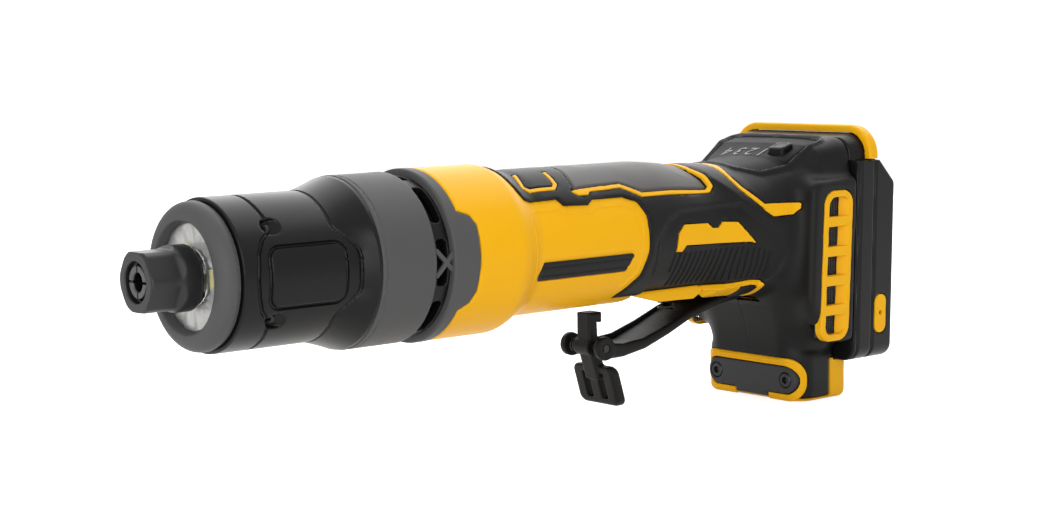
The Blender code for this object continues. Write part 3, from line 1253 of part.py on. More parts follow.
def make_lever():
    """Lock-off lever: an arm with a hook on top and a slotted finger tab below."""
    half = LEVER_ARM_THICKNESS / 2
    top = LEVER_TOP_HEIGHT
    hook = top - LEVER_ARM_THICKNESS
    tab = LEVER_TAB_TOP - LEVER_ARM_THICKNESS
    x = LEVER_PIVOT
    outline = [(x - half, top), (x - half, LEVER_PIVOT_HEIGHT), (x + LEVER_LEAN - half, tab),
               (x + LEVER_LEAN + half, tab), (x + half, LEVER_PIVOT_HEIGHT), (x + half, hook),
               (x + LEVER_HOOK_REACH, hook), (x + LEVER_HOOK_REACH, top)]
    lever = prism("lock_lever", outline, -LEVER_ARM_HALF_WIDTH, LEVER_ARM_HALF_WIDTH)
    thick = LEVER_TAB_THICKNESS / 2
    wide = LEVER_TAB_HALF_WIDTH
    face = rounded([(-wide, LEVER_TAB_BOTTOM), (wide, LEVER_TAB_BOTTOM), (wide, LEVER_TAB_TOP),
                    (-wide, LEVER_TAB_TOP)], LEVER_TAB_THICKNESS / 2)
    centre = x + LEVER_LEAN
    plate = prism("tab", face, centre - thick, centre + thick, "X")
    middle = (LEVER_TAB_TOP + LEVER_TAB_BOTTOM) / 2
    for side in (-1, 1):
        y = side * LEVER_TAB_HALF_WIDTH / 2.6
        cut(plate, block("slot", (centre - 2 * thick, centre + 2 * thick),
                         (y - LEVER_SLOT_WIDTH / 2, y + LEVER_SLOT_WIDTH / 2),
                         (middle - LEVER_SLOT_HEIGHT / 2, middle + LEVER_SLOT_HEIGHT / 2)))
    place = (LEVER_PIVOT, LEVER_PIVOT_HEIGHT)
    hub = rod("hub", -LEVER_ARM_HALF_WIDTH, LEVER_ARM_HALF_WIDTH, LEVER_HUB_RADIUS, place, "Y", COARSE)
    join(lever, plate, hub)
    cut(lever, rod("pin", -wide, wide, LEVER_PIN_RADIUS + RUNNING_GAP, place, "Y"))
    on_axis(finish(lever, BLACK), (LEVER_PIVOT, 0, LEVER_PIVOT_HEIGHT))


def make_springs():
    """Coil under the grip that returns the paddle, and the small coil that returns the lever."""
    station = PADDLE_PIVOT - SPRING_ARM
    bottom = PADDLE_PIVOT_HEIGHT + paddle_edge(SPRING_ARM + SPRING_RADIUS) + PADDLE_WALL
    bottom = max(bottom, PADDLE_PIVOT_HEIGHT + paddle_edge(SPRING_ARM - SPRING_RADIUS) + PADDLE_WALL) + GAP
    coil("paddle_spring", (station, 0.0, bottom), "Z", SPRING_RADIUS, SPRING_WIRE_RADIUS, SPRING_TURNS,
         CHANNEL_HEIGHT - GAP - bottom, STEEL)
    start = LEVER_ARM_HALF_WIDTH + GAP
    coil("lever_spring", (LEVER_PIVOT, start, LEVER_PIVOT_HEIGHT), "Y", LEVER_SPRING_RADIUS,
         LEVER_SPRING_WIRE_RADIUS, LEVER_SPRING_TURNS, EAR_INNER - GAP - start, STEEL)


def make_switch():
    """Switch body on the grip's floor, its plunger and the controller in front of it."""
    base = FLOOR_HEIGHT + GAP
    front = SWITCH_STATION - SWITCH_LENGTH / 2
    body = block("switch_body", (front, front + SWITCH_LENGTH), (-SWITCH_HALF_WIDTH, SWITCH_HALF_WIDTH),
                 (base, base + SWITCH_HEIGHT))
    place = (SWITCH_STATION, 0.0)
    cut(body, rod("socket", base - GAP, base + PLUNGER_SOCKET, PLUNGER_RADIUS + RUNNING_GAP, place, "Z"))
    finish(body, BLACK)
    floor = max(paddle_edge(SWITCH_ARM - PLUNGER_RADIUS), paddle_edge(SWITCH_ARM))
    foot = PADDLE_PIVOT_HEIGHT + floor + PADDLE_WALL
    travel = SWITCH_ARM * radians(PADDLE_SWING)
    top = base + PLUNGER_SOCKET - travel - 2 * GAP
    plunger = rod("switch_plunger", foot + GAP, top, PLUNGER_RADIUS, place, "Z")
    on_axis(finish(plunger, SOFT), (SWITCH_STATION, 0, foot))
    start = BELL_REAR + 2 * GAP
    finish(block("controller_module", (start, start + CONTROLLER_LENGTH),
                 (-CONTROLLER_HALF_WIDTH, CONTROLLER_HALF_WIDTH), (base, base + CONTROLLER_HEIGHT)), GREY)


def main():
    """Build every piece of the grinder."""
    clear_scene()
    make_collet()
    make_nut()
    make_spindle()
    make_fan()
    make_bearing("front_bearing", FRONT_BEARING_FRONT, FRONT_BEARING_WIDTH, FRONT_BEARING_BORE,
                 FRONT_BEARING_RADIUS)
    make_bearing("rear_bearing", REAR_BEARING_FRONT, REAR_BEARING_WIDTH, REAR_BEARING_BORE,
                 REAR_BEARING_RADIUS)
    make_nose_ring()
    make_light()
    make_nose()
    make_collar()
    make_motor()
    make_shells()
    make_grip_pad()
    make_louvres()
    make_frame()
    make_terminals()
    make_chip_cover()
    make_display()
    make_paddle()
    make_lever()
    make_springs()
    make_switch()


main()
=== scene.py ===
"""Looks of a cordless die grinder: finished shells, soft grips, trim, fasteners and a plain studio.

Shapes are signed distances in millimetres, negative inside a piece: s runs from the collet nut's face along the
spindle, y across the grinder and h up from the spindle's axis. A net laid over such a distance gives the mesh.
"""

import json
from math import cos, pi, radians, sin

import bpy
import numpy as np
from mathutils import Matrix, Vector


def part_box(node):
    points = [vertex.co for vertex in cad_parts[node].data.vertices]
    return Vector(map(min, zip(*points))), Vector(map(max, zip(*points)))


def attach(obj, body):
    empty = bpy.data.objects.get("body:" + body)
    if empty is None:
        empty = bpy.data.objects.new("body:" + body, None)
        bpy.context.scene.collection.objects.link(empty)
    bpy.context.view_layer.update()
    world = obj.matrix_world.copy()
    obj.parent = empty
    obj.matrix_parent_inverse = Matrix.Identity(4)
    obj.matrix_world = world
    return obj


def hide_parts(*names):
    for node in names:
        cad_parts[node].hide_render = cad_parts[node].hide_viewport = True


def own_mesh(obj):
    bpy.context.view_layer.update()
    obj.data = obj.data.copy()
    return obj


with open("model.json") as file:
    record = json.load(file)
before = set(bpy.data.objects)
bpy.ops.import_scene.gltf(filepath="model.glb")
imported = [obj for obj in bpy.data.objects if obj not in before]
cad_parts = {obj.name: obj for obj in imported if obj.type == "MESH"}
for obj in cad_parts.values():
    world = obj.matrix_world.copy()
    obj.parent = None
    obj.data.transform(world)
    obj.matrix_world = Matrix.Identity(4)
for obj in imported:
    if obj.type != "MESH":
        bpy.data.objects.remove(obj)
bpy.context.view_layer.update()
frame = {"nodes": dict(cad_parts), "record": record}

bl_info = {
    "name": "Die Grinder Looks",
    "version": (1, 0, 0),
    "blender": (4, 5, 0),
    "location": "View3D > Sidebar > Grinder",
    "description": "Finished surfaces and studio for a cordless die grinder",
    "category": "Object",
}

MM = 0.001
NOSE_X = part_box("collet_nut")[0].x
AXIS_Z = sum(corner.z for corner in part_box("collet_nut")) / 2
SIDES = ((-1, "left"), (1, "right"))

# Stations and radii along the nose, in millimetres
RING = (17.5, 24.3)
RING_RADIUS = 25.0
RING_OPENING = 18.4
LENS_FRONT = 20.6
LENS_RADII = (9.6, 18.9)
LENS_FANS = 15
LAMP_RADIUS = 10.6
BARREL = (24.5, 76.4)
BARREL_RADIUS = 26.0
COLLAR = (76.6, 99.2)
COLLAR_RADIUS = 30.3
VENT = (99.4, 106.3)
VENT_RADIUS = 28.6
RIM = (106.4, 111.3)
BODY_RADIUS = 31.0
GRIP_RADIUS = 26.2
STEP = (137.5, 152.0)
SHELL = 3.4
COVER_BED = 2.3
HALF_SEAM = -0.05

# Outlines of the foot's head: side view, front view and half width along the stations
HEAD_SIDE = [(246, -26), (246, 20.4), (262, 21.0), (270, 22.4), (280, 25.4), (290, 29.0), (297, 31.6), (303, 33.6),
             (330, 34.0), (330, -52), (301, -50), (291, -40), (282, -30.5), (268, -27)]
CREST = ((144, 156, 1.1), (168, 192, -0.5), (216, 246, -2.3), (238, 264, -1.7))
HEAD_FRONT = [(34.4, -70), (34.4, 23.8), (22.6, 34.2), (0, 36.0), (-22.6, 34.2), (-34.4, 23.8), (-34.4, -70)]
HEAD_WIDTH = ([246, 256, 264, 272, 280, 288, 296, 340], [24.5, 25.8, 27.4, 29.6, 31.8, 33.4, 34.2, 34.4])

# Edge of the soft cover in side view, and the dents and plates on it
COVER_EDGE = [(143.6, 80), (143.6, 26.0), (144.6, 22.0), (146.2, 19.0), (149.6, 18.0), (162.0, 18.4), (164.2, 15.9),
              (175.6, 15.5), (178.2, 17.2), (194.5, 17.2), (201.0, 15.0), (204.2, 9.5), (204.3, -4.0),
              (202.4, -13.5), (195.5, -21.6), (258.4, -21.8), (260.0, -23.4), (260.0, -80), (340, -80), (340, 80)]
HOOK = [(243.0, -22.5), (254.0, -22.2), (263.4, -21.6), (267.4, -22.0), (268.8, -23.4), (268.9, -25.4),
        (268.8, -27.4)]
FLANGE = [(207.0, -21.3), (207.0, -22.8), (219.6, -26.0), (238.4, -26.4), (243.8, -23.8), (256.0, -23.2),
          (256.0, -21.3)]
RECESS = [(208.5, -23), (208.5, 1.0), (214.5, 7.5), (222.0, 10.6), (254.0, 11.2), (262.0, 5.0), (272.0, -2.0),
          (276.0, -12.0), (272.5, -20.0), (268.0, -23)]
PLATE = [(219.6, -5.6), (220.4, 1.0), (223.6, 4.2), (236.0, 3.9), (238.4, 1.9), (242.0, 1.8), (244.4, 3.9),
         (251.6, 3.4), (260.2, -5.0), (258.0, -4.4), (224.2, -3.4), (222.2, -5.8)]
RIB_ZONE = [(215.0, -6.0), (220.5, -19.6), (272.5, -20.2), (277.0, -11.0), (262.0, -6.4), (224.0, -5.2)]
STRIPE = [(257.9, 24.9), (255.9, 23.8), (254.9, 22.2), (254.8, 19.6), (256.0, 16.9), (258.2, 14.6), (260.8, 12.3),
          (265.4, 8.4)]
STRIPE_END = [(265.4, 9.5), (281.2, 9.2), (281.0, 7.6), (278.4, 5.5), (268.8, 5.2), (265.0, 7.6)]
LABEL_EDGE = [(146.6, -13.5), (146.6, 11.6), (148.2, 13.8), (160.8, 14.2), (163.6, 12.4), (176.2, 12.0),
              (178.8, 13.8), (193.6, 13.6), (199.0, 11.4), (201.0, 7.0), (201.0, -4.0), (199.4, -12.0),
              (194.0, -17.6)]
LABEL_PLATE = [(150.2, -9.8), (192.6, -9.8), (194.8, -5.4), (152.2, -5.4)]
PANEL_SUNK = 0.15
PANEL = [(267.0, -11.0), (273.0, -16.5), (285.0, -20.5), (300.0, -22.0), (300.0, 22.0), (285.0, 20.5), (273.0, 16.5),
         (267.0, 11.0)]

# Soft pad and its line: station and angle up from the side, in degrees
PAD_EDGE = [(176.0, 100), (175.6, 79), (172.8, 55), (172.0, 47.5), (182.6, 49.5), (195.8, 51.0), (204.6, 40.5),
            (240.2, 40.5), (241.4, 43), (241.2, 52), (239.0, 66), (238.4, 100)]
PAD_LINE = [(172.6, 46.0), (183.0, 47.2), (195.6, 48.8), (204.4, 38.4), (240.8, 38.4), (243.0, 42.5),
            (242.8, 53), (240.8, 66), (240.2, 100)]
PAD_TAB = [(170.6, 45.8), (179.2, 45.8), (177.8, 42.2), (173.0, 42.2)]
BADGE_LINE = [(156.0, 100), (153.9, 80), (150.2, 54.5), (151.8, 51.0), (162.8, 51.4), (164.6, 55.0), (166.4, 80),
              (167.0, 100)]

# Barrel: groove, screw pockets and the bare badge pad
BARREL_GROOVE = [(37.4, 90), (37.4, 62), (38.0, 46), (36.4, 34), (33.7, 29), (31.0, 18), (30.0, 0), (30.6, -12),
                 (32.1, -23), (34.2, -29), (36.0, -36), (37.0, -52), (37.4, -90)]
POCKET_ANGLES = (40.0, -34.0)
POCKET_STATION = 38.8
POCKET_RADIUS = 3.2
BADGE_PAD = ((35.2, -10.0), (64.4, 10.0))

# Foot
POD_SIDE = 38.0
POD_TOP = 18.0
LOUVRE = ((289.6, -47.0), (306.6, 13.8))
LOUVRE_LEAN = 0.05
LOUVRE_RIM = 2.6
LOUVRE_BAR = 3.9
LOUVRE_WINDOWS = 5
BLOCK_FRONT = 287.0
BLOCK_HALF = 27.3
BLOCK_CORNER = 8.0
BLOCK_TAIL = 316.3
BLOCK_COVER_END = 304.8
FRAME_STATIONS = (309.3, 332.7)
FRAME_LEAN = 0.03
FRAME_BOTTOM = -57.0
ARCH_TOP = 39.0
ARCH_RADIUS = 12.5
FLARE = ([278, 284, 294.6, 306, 316.8, 325], [24, 16, 8.5, 5.3, 3.3, 3.3])
SHOULDER = 25.5
FRAME_SEAMS = (311.4, 320.4)
BUMPER = (316.8, 322.0)
BUMPER_THICKNESS = 3.0
CHIP = ((-24.5, -69.8), (23.8, -58.6))
CHIP_SCREWS = ((-19.3, -64.2), (19.3, -64.2))
CASE_SCREWS = ((171.0, -20.3, 12.0), (295.5, 21.3, 18.0))
BUTTON = (290.0, -13.5)
BUTTON_RADIUS = 4.6
BUTTON_TOP = 31.6
BUTTON_SLOPE = 0.30
DIGITS = (("1", -6.6), ("2", -0.4), ("3", 6.0), ("4", 12.6))
DIGIT_SIZE = 9.4
DIGIT_STATION = 287.0

# Paddle and lock-off lever
PADDLE_PIVOT = (281.0, -24.5)
PADDLE_HALF = 11.0
CHANNEL = [(206.4, -20.0), (206.4, -90.0), (262.0, -90.0), (271.0, -33.0), (285.4, -31.0), (285.4, -20.0)]
LEVER_PIVOT = (195.0, -42.0)
LEVER_TAB = (-65.4, -49.6)
LEVER_LEAN = 0.30
PADDLE_LOWER = [(0.0, -3.0), (6.0, -4.5), (23.5, -6.5), (39.0, -10.5), (52.0, -15.7), (64.5, -19.9), (76.0, -21.8),
                (86.0, -22.0)]
PADDLE_UPPER = [(0.0, 3.0), (6.0, 0.2), (23.5, -2.8), (39.0, -7.0), (52.0, -11.8), (64.5, -15.5), (76.0, -16.5),
                (86.0, -15.0)]


# Distances

def smin(a, b, k):
    """Union of two distances with a fillet of about k."""
    share = np.clip(0.5 + 0.5 * (b - a) / k, 0.0, 1.0)
    return b + (a - b) * share - k * share * (1.0 - share)


def smax(a, b, k):
    """Common part of two distances with a rounded edge of about k."""
    return -smin(-a, -b, k)


def smooth(low, high, value):
    """Soft step from 0 at low to 1 at high."""
    share = np.clip((value - low) / (high - low), 0.0, 1.0)
    return share * share * (3.0 - 2.0 * share)


def rect(u, v, low, high, radius):
    """Distance to a rectangle with round corners."""
    du = np.abs(u - (low[0] + high[0]) / 2) - (high[0] - low[0]) / 2 + radius
    dv = np.abs(v - (low[1] + high[1]) / 2) - (high[1] - low[1]) / 2 + radius
    return np.hypot(np.maximum(du, 0), np.maximum(dv, 0)) + np.minimum(np.maximum(du, dv), 0) - radius


def segments(u, v, points, closed):
    """Squared distance to each stretch of a line, with what outline needs to count its crossings."""
    for index in range(0 if closed else 1, len(points)):
        ax, ay = points[index]
        bx, by = points[index - 1]
        ex, ey = bx - ax, by - ay
        wx, wy = u - ax, v - ay
        along = np.clip((wx * ex + wy * ey) / (ex * ex + ey * ey), 0, 1)
        yield (wx - ex * along) ** 2 + (wy - ey * along) ** 2, (v >= ay, v < by, ex * wy > ey * wx)


def path(u, v, points):
    """Distance to an open line."""
    best = np.inf
    for square, _ in segments(u, v, points, False):
        best = np.minimum(best, square)
    return np.sqrt(best)


def outline(u, v, points, radius=0.0):
    """Distance to a closed outline, grown by a radius that rounds its corners."""
    best = np.inf
    sign = 1.0
    for square, (one, two, three) in segments(u, v, points, True):
        best = np.minimum(best, square)
        sign = np.where((one & two & three) | ~(one | two | three), -sign, sign)
    return sign * np.sqrt(best) - radius


def around(y, h, radius):
    """Arc length up from the side of a round body, alike on both sides."""
    return radius * np.arctan2(h, np.abs(y))


def unrolled(points, radius):
    """Points of station and angle as station and arc length."""
    return [(station, radius * radians(angle)) for station, angle in points]


# Nets and meshes

def to_metres(points):
    """Rows of s, y, h in millimetres as places in the shared frame."""
    points = np.asarray(points, float)
    return points * MM + np.array([NOSE_X, 0.0, AXIS_Z])


def contour(name, field, low, high, step):
    """Mesh of the space where field is negative, with one point in each grid cell that the surface crosses.

    The point is where the tangent planes of the cell's crossings come closest together, so edges stay crisp."""
    step = step * 1.0
    axes = [np.arange(a - step, b + 1.5 * step, step) for a, b in zip(low, high)]
    shape = tuple(len(axis) for axis in axes)
    grid = [axis.reshape([-1 if d == e else 1 for e in range(3)]) for d, axis in enumerate(axes)]
    values = np.ascontiguousarray(np.broadcast_to(field(*grid), shape)).astype(float)
    for d in range(3):
        for end in (0, -1):
            index = [slice(None)] * 3
            index[d] = end
            values[tuple(index)] = np.maximum(values[tuple(index)], 0.01 * step)
    start = np.array([axis[0] for axis in axes])
    cells = []
    spots = []
    faces = []
    strides = np.array([shape[1] * shape[2], shape[2], 1])
    for d in range(3):
        head = [slice(None)] * 3
        tail = [slice(None)] * 3
        head[d] = slice(0, -1)
        tail[d] = slice(1, None)
        before, after = values[tuple(head)], values[tuple(tail)]
        rows = np.argwhere((before < 0) != (after < 0))
        others = [e for e in range(3) if e != d]
        rows = rows[(rows[:, others] > 0).all(axis=1)]
        at_before = before[tuple(rows.T)]
        share = at_before / (at_before - after[tuple(rows.T)])
        place = start + rows * step
        place[:, d] += share * step
        e, f = (d + 1) % 3, (d + 2) % 3
        flat = rows @ strides
        corners = np.stack([flat - strides[e] - strides[f], flat - strides[f], flat, flat - strides[e]], axis=1)
        cells.append(corners)
        spots.append(place)
        faces.append(np.where((at_before < 0)[:, None], corners, corners[:, ::-1]))
    cells = np.concatenate(cells)
    spots = np.concatenate(spots)
    used, number = np.unique(cells, return_inverse=True)
    number = number.reshape(cells.shape)
    reach = 0.02
    slopes = []
    for d in range(3):
        shift = np.zeros(3)
        shift[d] = reach
        slopes.append(field(*(spots + shift).T) - field(*(spots - shift).T))
    slopes = np.stack(slopes, axis=1)
    slopes /= np.maximum(np.linalg.norm(slopes, axis=1, keepdims=True), 1e-9)
    count = len(used)
    centres = start + (np.stack(np.unravel_index(used, shape), axis=1) + 0.5) * step
    weights = np.zeros(count)
    mass = np.zeros((count, 3))
    square = np.zeros((count, 3, 3))
    right = np.zeros((count, 3))
    for corner in range(4):
        ids = number[:, corner]
        local = spots - centres[ids]
        dots = (slopes * local).sum(axis=1)
        weights += np.bincount(ids, minlength=count)
        for i in range(3):
            mass[:, i] += np.bincount(ids, local[:, i], count)
            right[:, i] += np.bincount(ids, slopes[:, i] * dots, count)
            for j in range(3):
                square[:, i, j] += np.bincount(ids, slopes[:, i] * slopes[:, j], count)
    pull = 0.08
    mass /= weights[:, None]
    solved = np.linalg.solve(square + pull * np.eye(3), (right + pull * mass)[:, :, None])[:, :, 0]
    solved = np.clip(solved, -0.5 * step, 0.5 * step)
    finder = np.searchsorted(used, np.concatenate(faces))
    return net(name, to_metres(centres + solved), finder)


def net(name, points, quads):
    """Smooth mesh of rows of points and rows of four point numbers."""
    mesh = bpy.data.meshes.new(name)
    mesh.vertices.add(len(points))
    mesh.vertices.foreach_set("co", np.asarray(points, np.float32).ravel())
    mesh.loops.add(quads.size)
    mesh.loops.foreach_set("vertex_index", np.asarray(quads, np.int32).ravel())
    mesh.polygons.add(len(quads))
    mesh.polygons.foreach_set("loop_start", np.arange(0, quads.size, 4, dtype=np.int32))
    mesh.update(calc_edges=True)
    mesh.validate()
    mesh.shade_smooth()
    mesh.set_sharp_from_angle(angle=radians(42))
    return mesh


def dress(name, mesh, look, nodes=(), body="housing"):
    """Piece that rides on a body, takes its finish from a slot and stands for CAD nodes."""
    item = bpy.data.objects.new(name, mesh)
    bpy.context.scene.collection.objects.link(item)
    mesh.materials.clear()
    mesh.materials.append(look)
    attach(item, body)
    if nodes:
        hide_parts(*nodes)
    return item


# Geometry node trees

class Tree:
    """A geometry node tree with named sizes that ends in Realize Instances and Set Material."""

    def __init__(self, name, sizes):
        self.group = bpy.data.node_groups.new(name, "GeometryNodeTree")
        self.group.interface.new_socket("Geometry", in_out="INPUT", socket_type="NodeSocketGeometry")
        for size, kind in sizes.items():
            self.group.interface.new_socket(size, in_out="INPUT", socket_type="NodeSocket" + kind)
        self.group.interface.new_socket("Geometry", in_out="OUTPUT", socket_type="NodeSocketGeometry")
        self.entry = self.group.nodes.new("NodeGroupInput")

    def size(self, name):
        """Socket of a named input."""
        return self.entry.outputs[name]

    def node(self, kind, settings=None, inputs=None, output=0):
        """New node with its settings and the values or links of its sockets."""
        made = self.group.nodes.new(kind)
        for key, value in (settings or {}).items():
            setattr(made, key, value)
        for key, value in (inputs or {}).items():
            if isinstance(value, bpy.types.NodeSocket):
                self.group.links.new(value, made.inputs[key])
            else:
                made.inputs[key].default_value = value
        return made.outputs[output]

    def finish(self, geometry):
        """Ends the tree."""
        real = self.node("GeometryNodeRealizeInstances", inputs={"Geometry": geometry})
        painted = self.node("GeometryNodeSetMaterial", inputs={"Geometry": real, "Material": self.size("Finish")})
        exit_node = self.group.nodes.new("NodeGroupOutput")
        self.group.links.new(painted, exit_node.inputs["Geometry"])

    def bake(self, name, seed, values):
        """Plain mesh that the tree makes of a seed mesh."""
        item = bpy.data.objects.new(name + "_seed", seed)
        bpy.context.scene.collection.objects.link(item)
        modifier = item.modifiers.new("tree", "NODES")
        modifier.node_group = self.group
        for socket in self.group.interface.items_tree:
            if socket.in_out == "INPUT" and socket.name in values:
                modifier[socket.identifier] = values[socket.name]
        graph = bpy.context.evaluated_depsgraph_get()
        mesh = bpy.data.meshes.new_from_object(item.evaluated_get(graph))
        mesh.name = name
        bpy.data.objects.remove(item)
        if not len(mesh.polygons):
            raise RuntimeError(f"the tree for {name} made no faces")
        return mesh


def strand_tree():
    """Tree that sweeps a round bar along each line of the seed: ribs and woven wires."""
    tree = Tree("strands", {"Radius": "Float", "Spacing": "Float", "Sides": "Int", "Finish": "Material"})
    curve = tree.node("GeometryNodeMeshToCurve", inputs={"Mesh": tree.size("Geometry")})
    even = tree.node("GeometryNodeResampleCurve", {"mode": "LENGTH"},
                     {"Curve": curve, "Length": tree.size("Spacing")})
    ring = tree.node("GeometryNodeCurvePrimitiveCircle",
                     inputs={"Resolution": tree.size("Sides"), "Radius": tree.size("Radius")})
    bars = tree.node("GeometryNodeCurveToMesh", inputs={"Curve": even, "Profile Curve": ring, "Fill Caps": True})
    tree.finish(tree.node("GeometryNodeSetShadeSmooth", inputs={"Geometry": bars}))
    return tree


def screw_tree():
    """Tree that sets a screw head on each point of the seed, turned to face along its facing attribute."""
    tree = Tree("screws", {"Head": "Object", "Finish": "Material"})
    facing = tree.node("GeometryNodeInputNamedAttribute", {"data_type": "FLOAT_VECTOR"}, {"Name": "facing"})
    turn = tree.node("FunctionNodeAlignRotationToVector", {"axis": "Z"}, {"Vector": facing})
    head = tree.node("GeometryNodeObjectInfo", inputs={"Object": tree.size("Head"), "As Instance": True},
                     output="Geometry")
    tree.finish(tree.node("GeometryNodeInstanceOnPoints",
                          inputs={"Points": tree.size("Geometry"), "Instance": head, "Rotation": turn}))
    return tree


def lines_mesh(name, lines):
    """Seed mesh of open lines, each a list of points in millimetres."""
    points = []
    edges = []
    for line in lines:
        first = len(points)
        points += [tuple(p) for p in line]
        edges += [(i, i + 1) for i in range(first, len(points) - 1)]
    mesh = bpy.data.meshes.new(name)
    mesh.from_pydata(to_metres(points).tolist(), edges, [])
    return mesh


def screws_mesh(name, places):
    """Seed mesh of screw places, each a point in millimetres and the way that its head faces."""
    mesh = bpy.data.meshes.new(name)
    mesh.from_pydata(to_metres([place for place, _ in places]).tolist(), [], [])
    facing = mesh.attributes.new("facing", "FLOAT_VECTOR", "POINT")
    facing.data.foreach_set("vector", np.array([way for _, way in places], np.float32).ravel())
    return mesh


def screw_head(radius, height, socket, depth, lobes):
    """Head at the origin with its top at z = 0 and a driver socket with six lobes or flats."""
    count = 48
    angles = 2 * pi * np.arange(count) / count
    star = socket * (1 + lobes * np.cos(6 * angles))
    edge = 0.12 * radius
    rings = [(radius, -height), (radius, -edge), (radius - edge, 0.0), (star, 0.0), (star, -depth), (0.2 * star, -depth)]
    points = []
    for reach, level in rings:
        reach = np.broadcast_to(reach, angles.shape)
        points.append(np.stack([reach * np.cos(angles), reach * np.sin(angles), np.full(count, level)], axis=1))
    points = np.concatenate(points) * MM
    quads = []
    for ring in range(len(rings) - 1):
        for i in range(count):
            j = (i + 1) % count
            quads.append((ring * count + i, ring * count + j, (ring + 1) * count + j, (ring + 1) * count + i))
    mesh = net("head", points, np.array(quads))
    faces = [list(range(count))[::-1], [len(points) - count + i for i in range(count)]]
    cap = bpy.data.meshes.new("screw_head")
    cap.from_pydata(points.tolist(), [], [tuple(q) for q in quads] + faces)
    bpy.data.meshes.remove(mesh)
    cap.shade_smooth()
    cap.set_sharp_from_angle(angle=radians(35))
    item = bpy.data.objects.new("screw_head", cap)
    bpy.context.scene.collection.objects.link(item)
    return item


def set_screws(name, head, places, look, nodes):
    """Piece of several like screws that stands for their CAD nodes."""
    seed = screws_mesh(name, places)
    mesh = screw_tree().bake(name, seed, {"Head": head, "Finish": look})
    bpy.data.objects.remove(head)
    return dress(name, mesh, look, nodes)


# Shader maths and materials

class Value:
    """A shader output that can be used in sums and products."""

    def __init__(self, look, socket):
        self.look = look
        self.socket = socket

    def math(self, operation, *others):
        """Math node on this value and others."""
        return self.look.node("ShaderNodeMath", {"operation": operation}, dict(enumerate((self,) + others)))

    def __add__(self, other):
        return self.math("ADD", other)

    def __mul__(self, other):
        return self.math("MULTIPLY", other)

    def __sub__(self, other):
        return self.math("SUBTRACT", other)

    def __rsub__(self, other):
        return self.look.node("ShaderNodeMath", {"operation": "SUBTRACT"}, {0: other, 1: self})

    def __pow__(self, other):
        return self.math("POWER", other)

    __radd__ = __add__
    __rmul__ = __mul__


class Look:
    """A material in the making, which ends in one Principled shader."""

    def __init__(self, name, colour, roughness, metallic=0.0, **constants):
        self.material = bpy.data.materials.new(name)
        self.material.use_nodes = True
        self.tree = self.material.node_tree
        self.tree.nodes.clear()
        self.shader = self.tree.nodes.new("ShaderNodeBsdfPrincipled")
        exit_node = self.tree.nodes.new("ShaderNodeOutputMaterial")
        self.tree.links.new(self.shader.outputs[0], exit_node.inputs["Surface"])
        self.colour = tuple(colour) + (1.0,)
        self.put(self.shader.inputs["Base Color"], self.colour)
        self.put(self.shader.inputs["Roughness"], roughness)
        self.put(self.shader.inputs["Metallic"], metallic)
        for key, value in constants.items():
            self.put(self.shader.inputs[key.replace("_", " ")], value)
        self.place = self.node("ShaderNodeTexCoord", output="Object")
        self.roughness = roughness

    def put(self, socket, value):
        """Sets a socket to a number or colour, or links a value to it."""
        if isinstance(value, Value):
            self.tree.links.new(value.socket, socket)
        else:
            socket.default_value = value

    def node(self, kind, settings=None, inputs=None, output=0):
        """New node with its settings, then the values or links of its sockets."""
        made = self.tree.nodes.new(kind)
        for key, value in (settings or {}).items():
            if key == "stops":
                for element, (where, colour) in zip(made.color_ramp.elements, value):
                    element.position = where
                    element.color = colour
            else:
                setattr(made, key, value)
        for key, value in (inputs or {}).items():
            self.put(made.inputs[key], value)
        return Value(self, made.outputs[output])

    def noise(self, size, detail=3.0):
        """Noise from 0 to 1 with spots of a size in millimetres."""
        return self.node("ShaderNodeTexNoise", inputs={"Vector": self.place, "Scale": 1 / (size * MM),
                                                       "Detail": detail, "Roughness": 0.55})

    def shade(self, factor, low, high):
        """Base colour that runs from low to high times the finish colour."""
        tones = [tuple(min(1.0, c * t) for c in self.colour[:3]) + (1.0,) for t in (low, high)]
        mixed = self.node("ShaderNodeMix", {"data_type": "RGBA"}, {"Factor": factor, 6: tones[0], 7: tones[1]},
                          output=2)
        self.put(self.shader.inputs["Base Color"], mixed)
        return mixed

    def polish(self, factor, spread):
        """Roughness that varies by a spread round its own value."""
        self.put(self.shader.inputs["Roughness"], factor * (2 * spread) + (self.roughness - spread))

    def bump(self, height, depth, strength=1.0):
        """Bump of a depth in millimetres."""
        made = self.node("ShaderNodeBump", inputs={"Height": height, "Distance": depth * MM, "Strength": strength})
        self.put(self.shader.inputs["Normal"], made)


def moulded(name, colour, roughness, grain, depth, tone=0.06, **constants):
    """Moulded plastic or rubber: fine grain, soft patches of tone and uneven gloss."""
    look = Look(name, colour, roughness, **constants)
    patches = look.noise(14.0, 4.0)
    fine = look.noise(grain, 2.0)
    look.shade(patches * 0.6 + fine * 0.4, 1.0 - tone, 1.0 + tone)
    look.polish(patches * 0.5 + fine * 0.5, 0.05)
    look.bump(fine + look.noise(grain * 3.1, 2.0) * 0.6, depth)
    return look.material


def metal(name, colour, roughness, grain, depth, metallic=1.0, stretch=(1.0, 1.0, 1.0), **constants):
    """Machined or cast metal: marks drawn out along one way, with tone and gloss that follow them."""
    look = Look(name, colour, roughness, metallic, **constants)
    drawn = look.node("ShaderNodeMapping", inputs={"Vector": look.place, "Scale": stretch})
    marks = look.node("ShaderNodeTexNoise", inputs={"Vector": drawn, "Scale": 1 / (grain * MM), "Detail": 4.0})
    look.shade(marks, 0.88, 1.10)
    look.polish(marks, 0.07)
    look.bump(marks, depth)
    return look.material


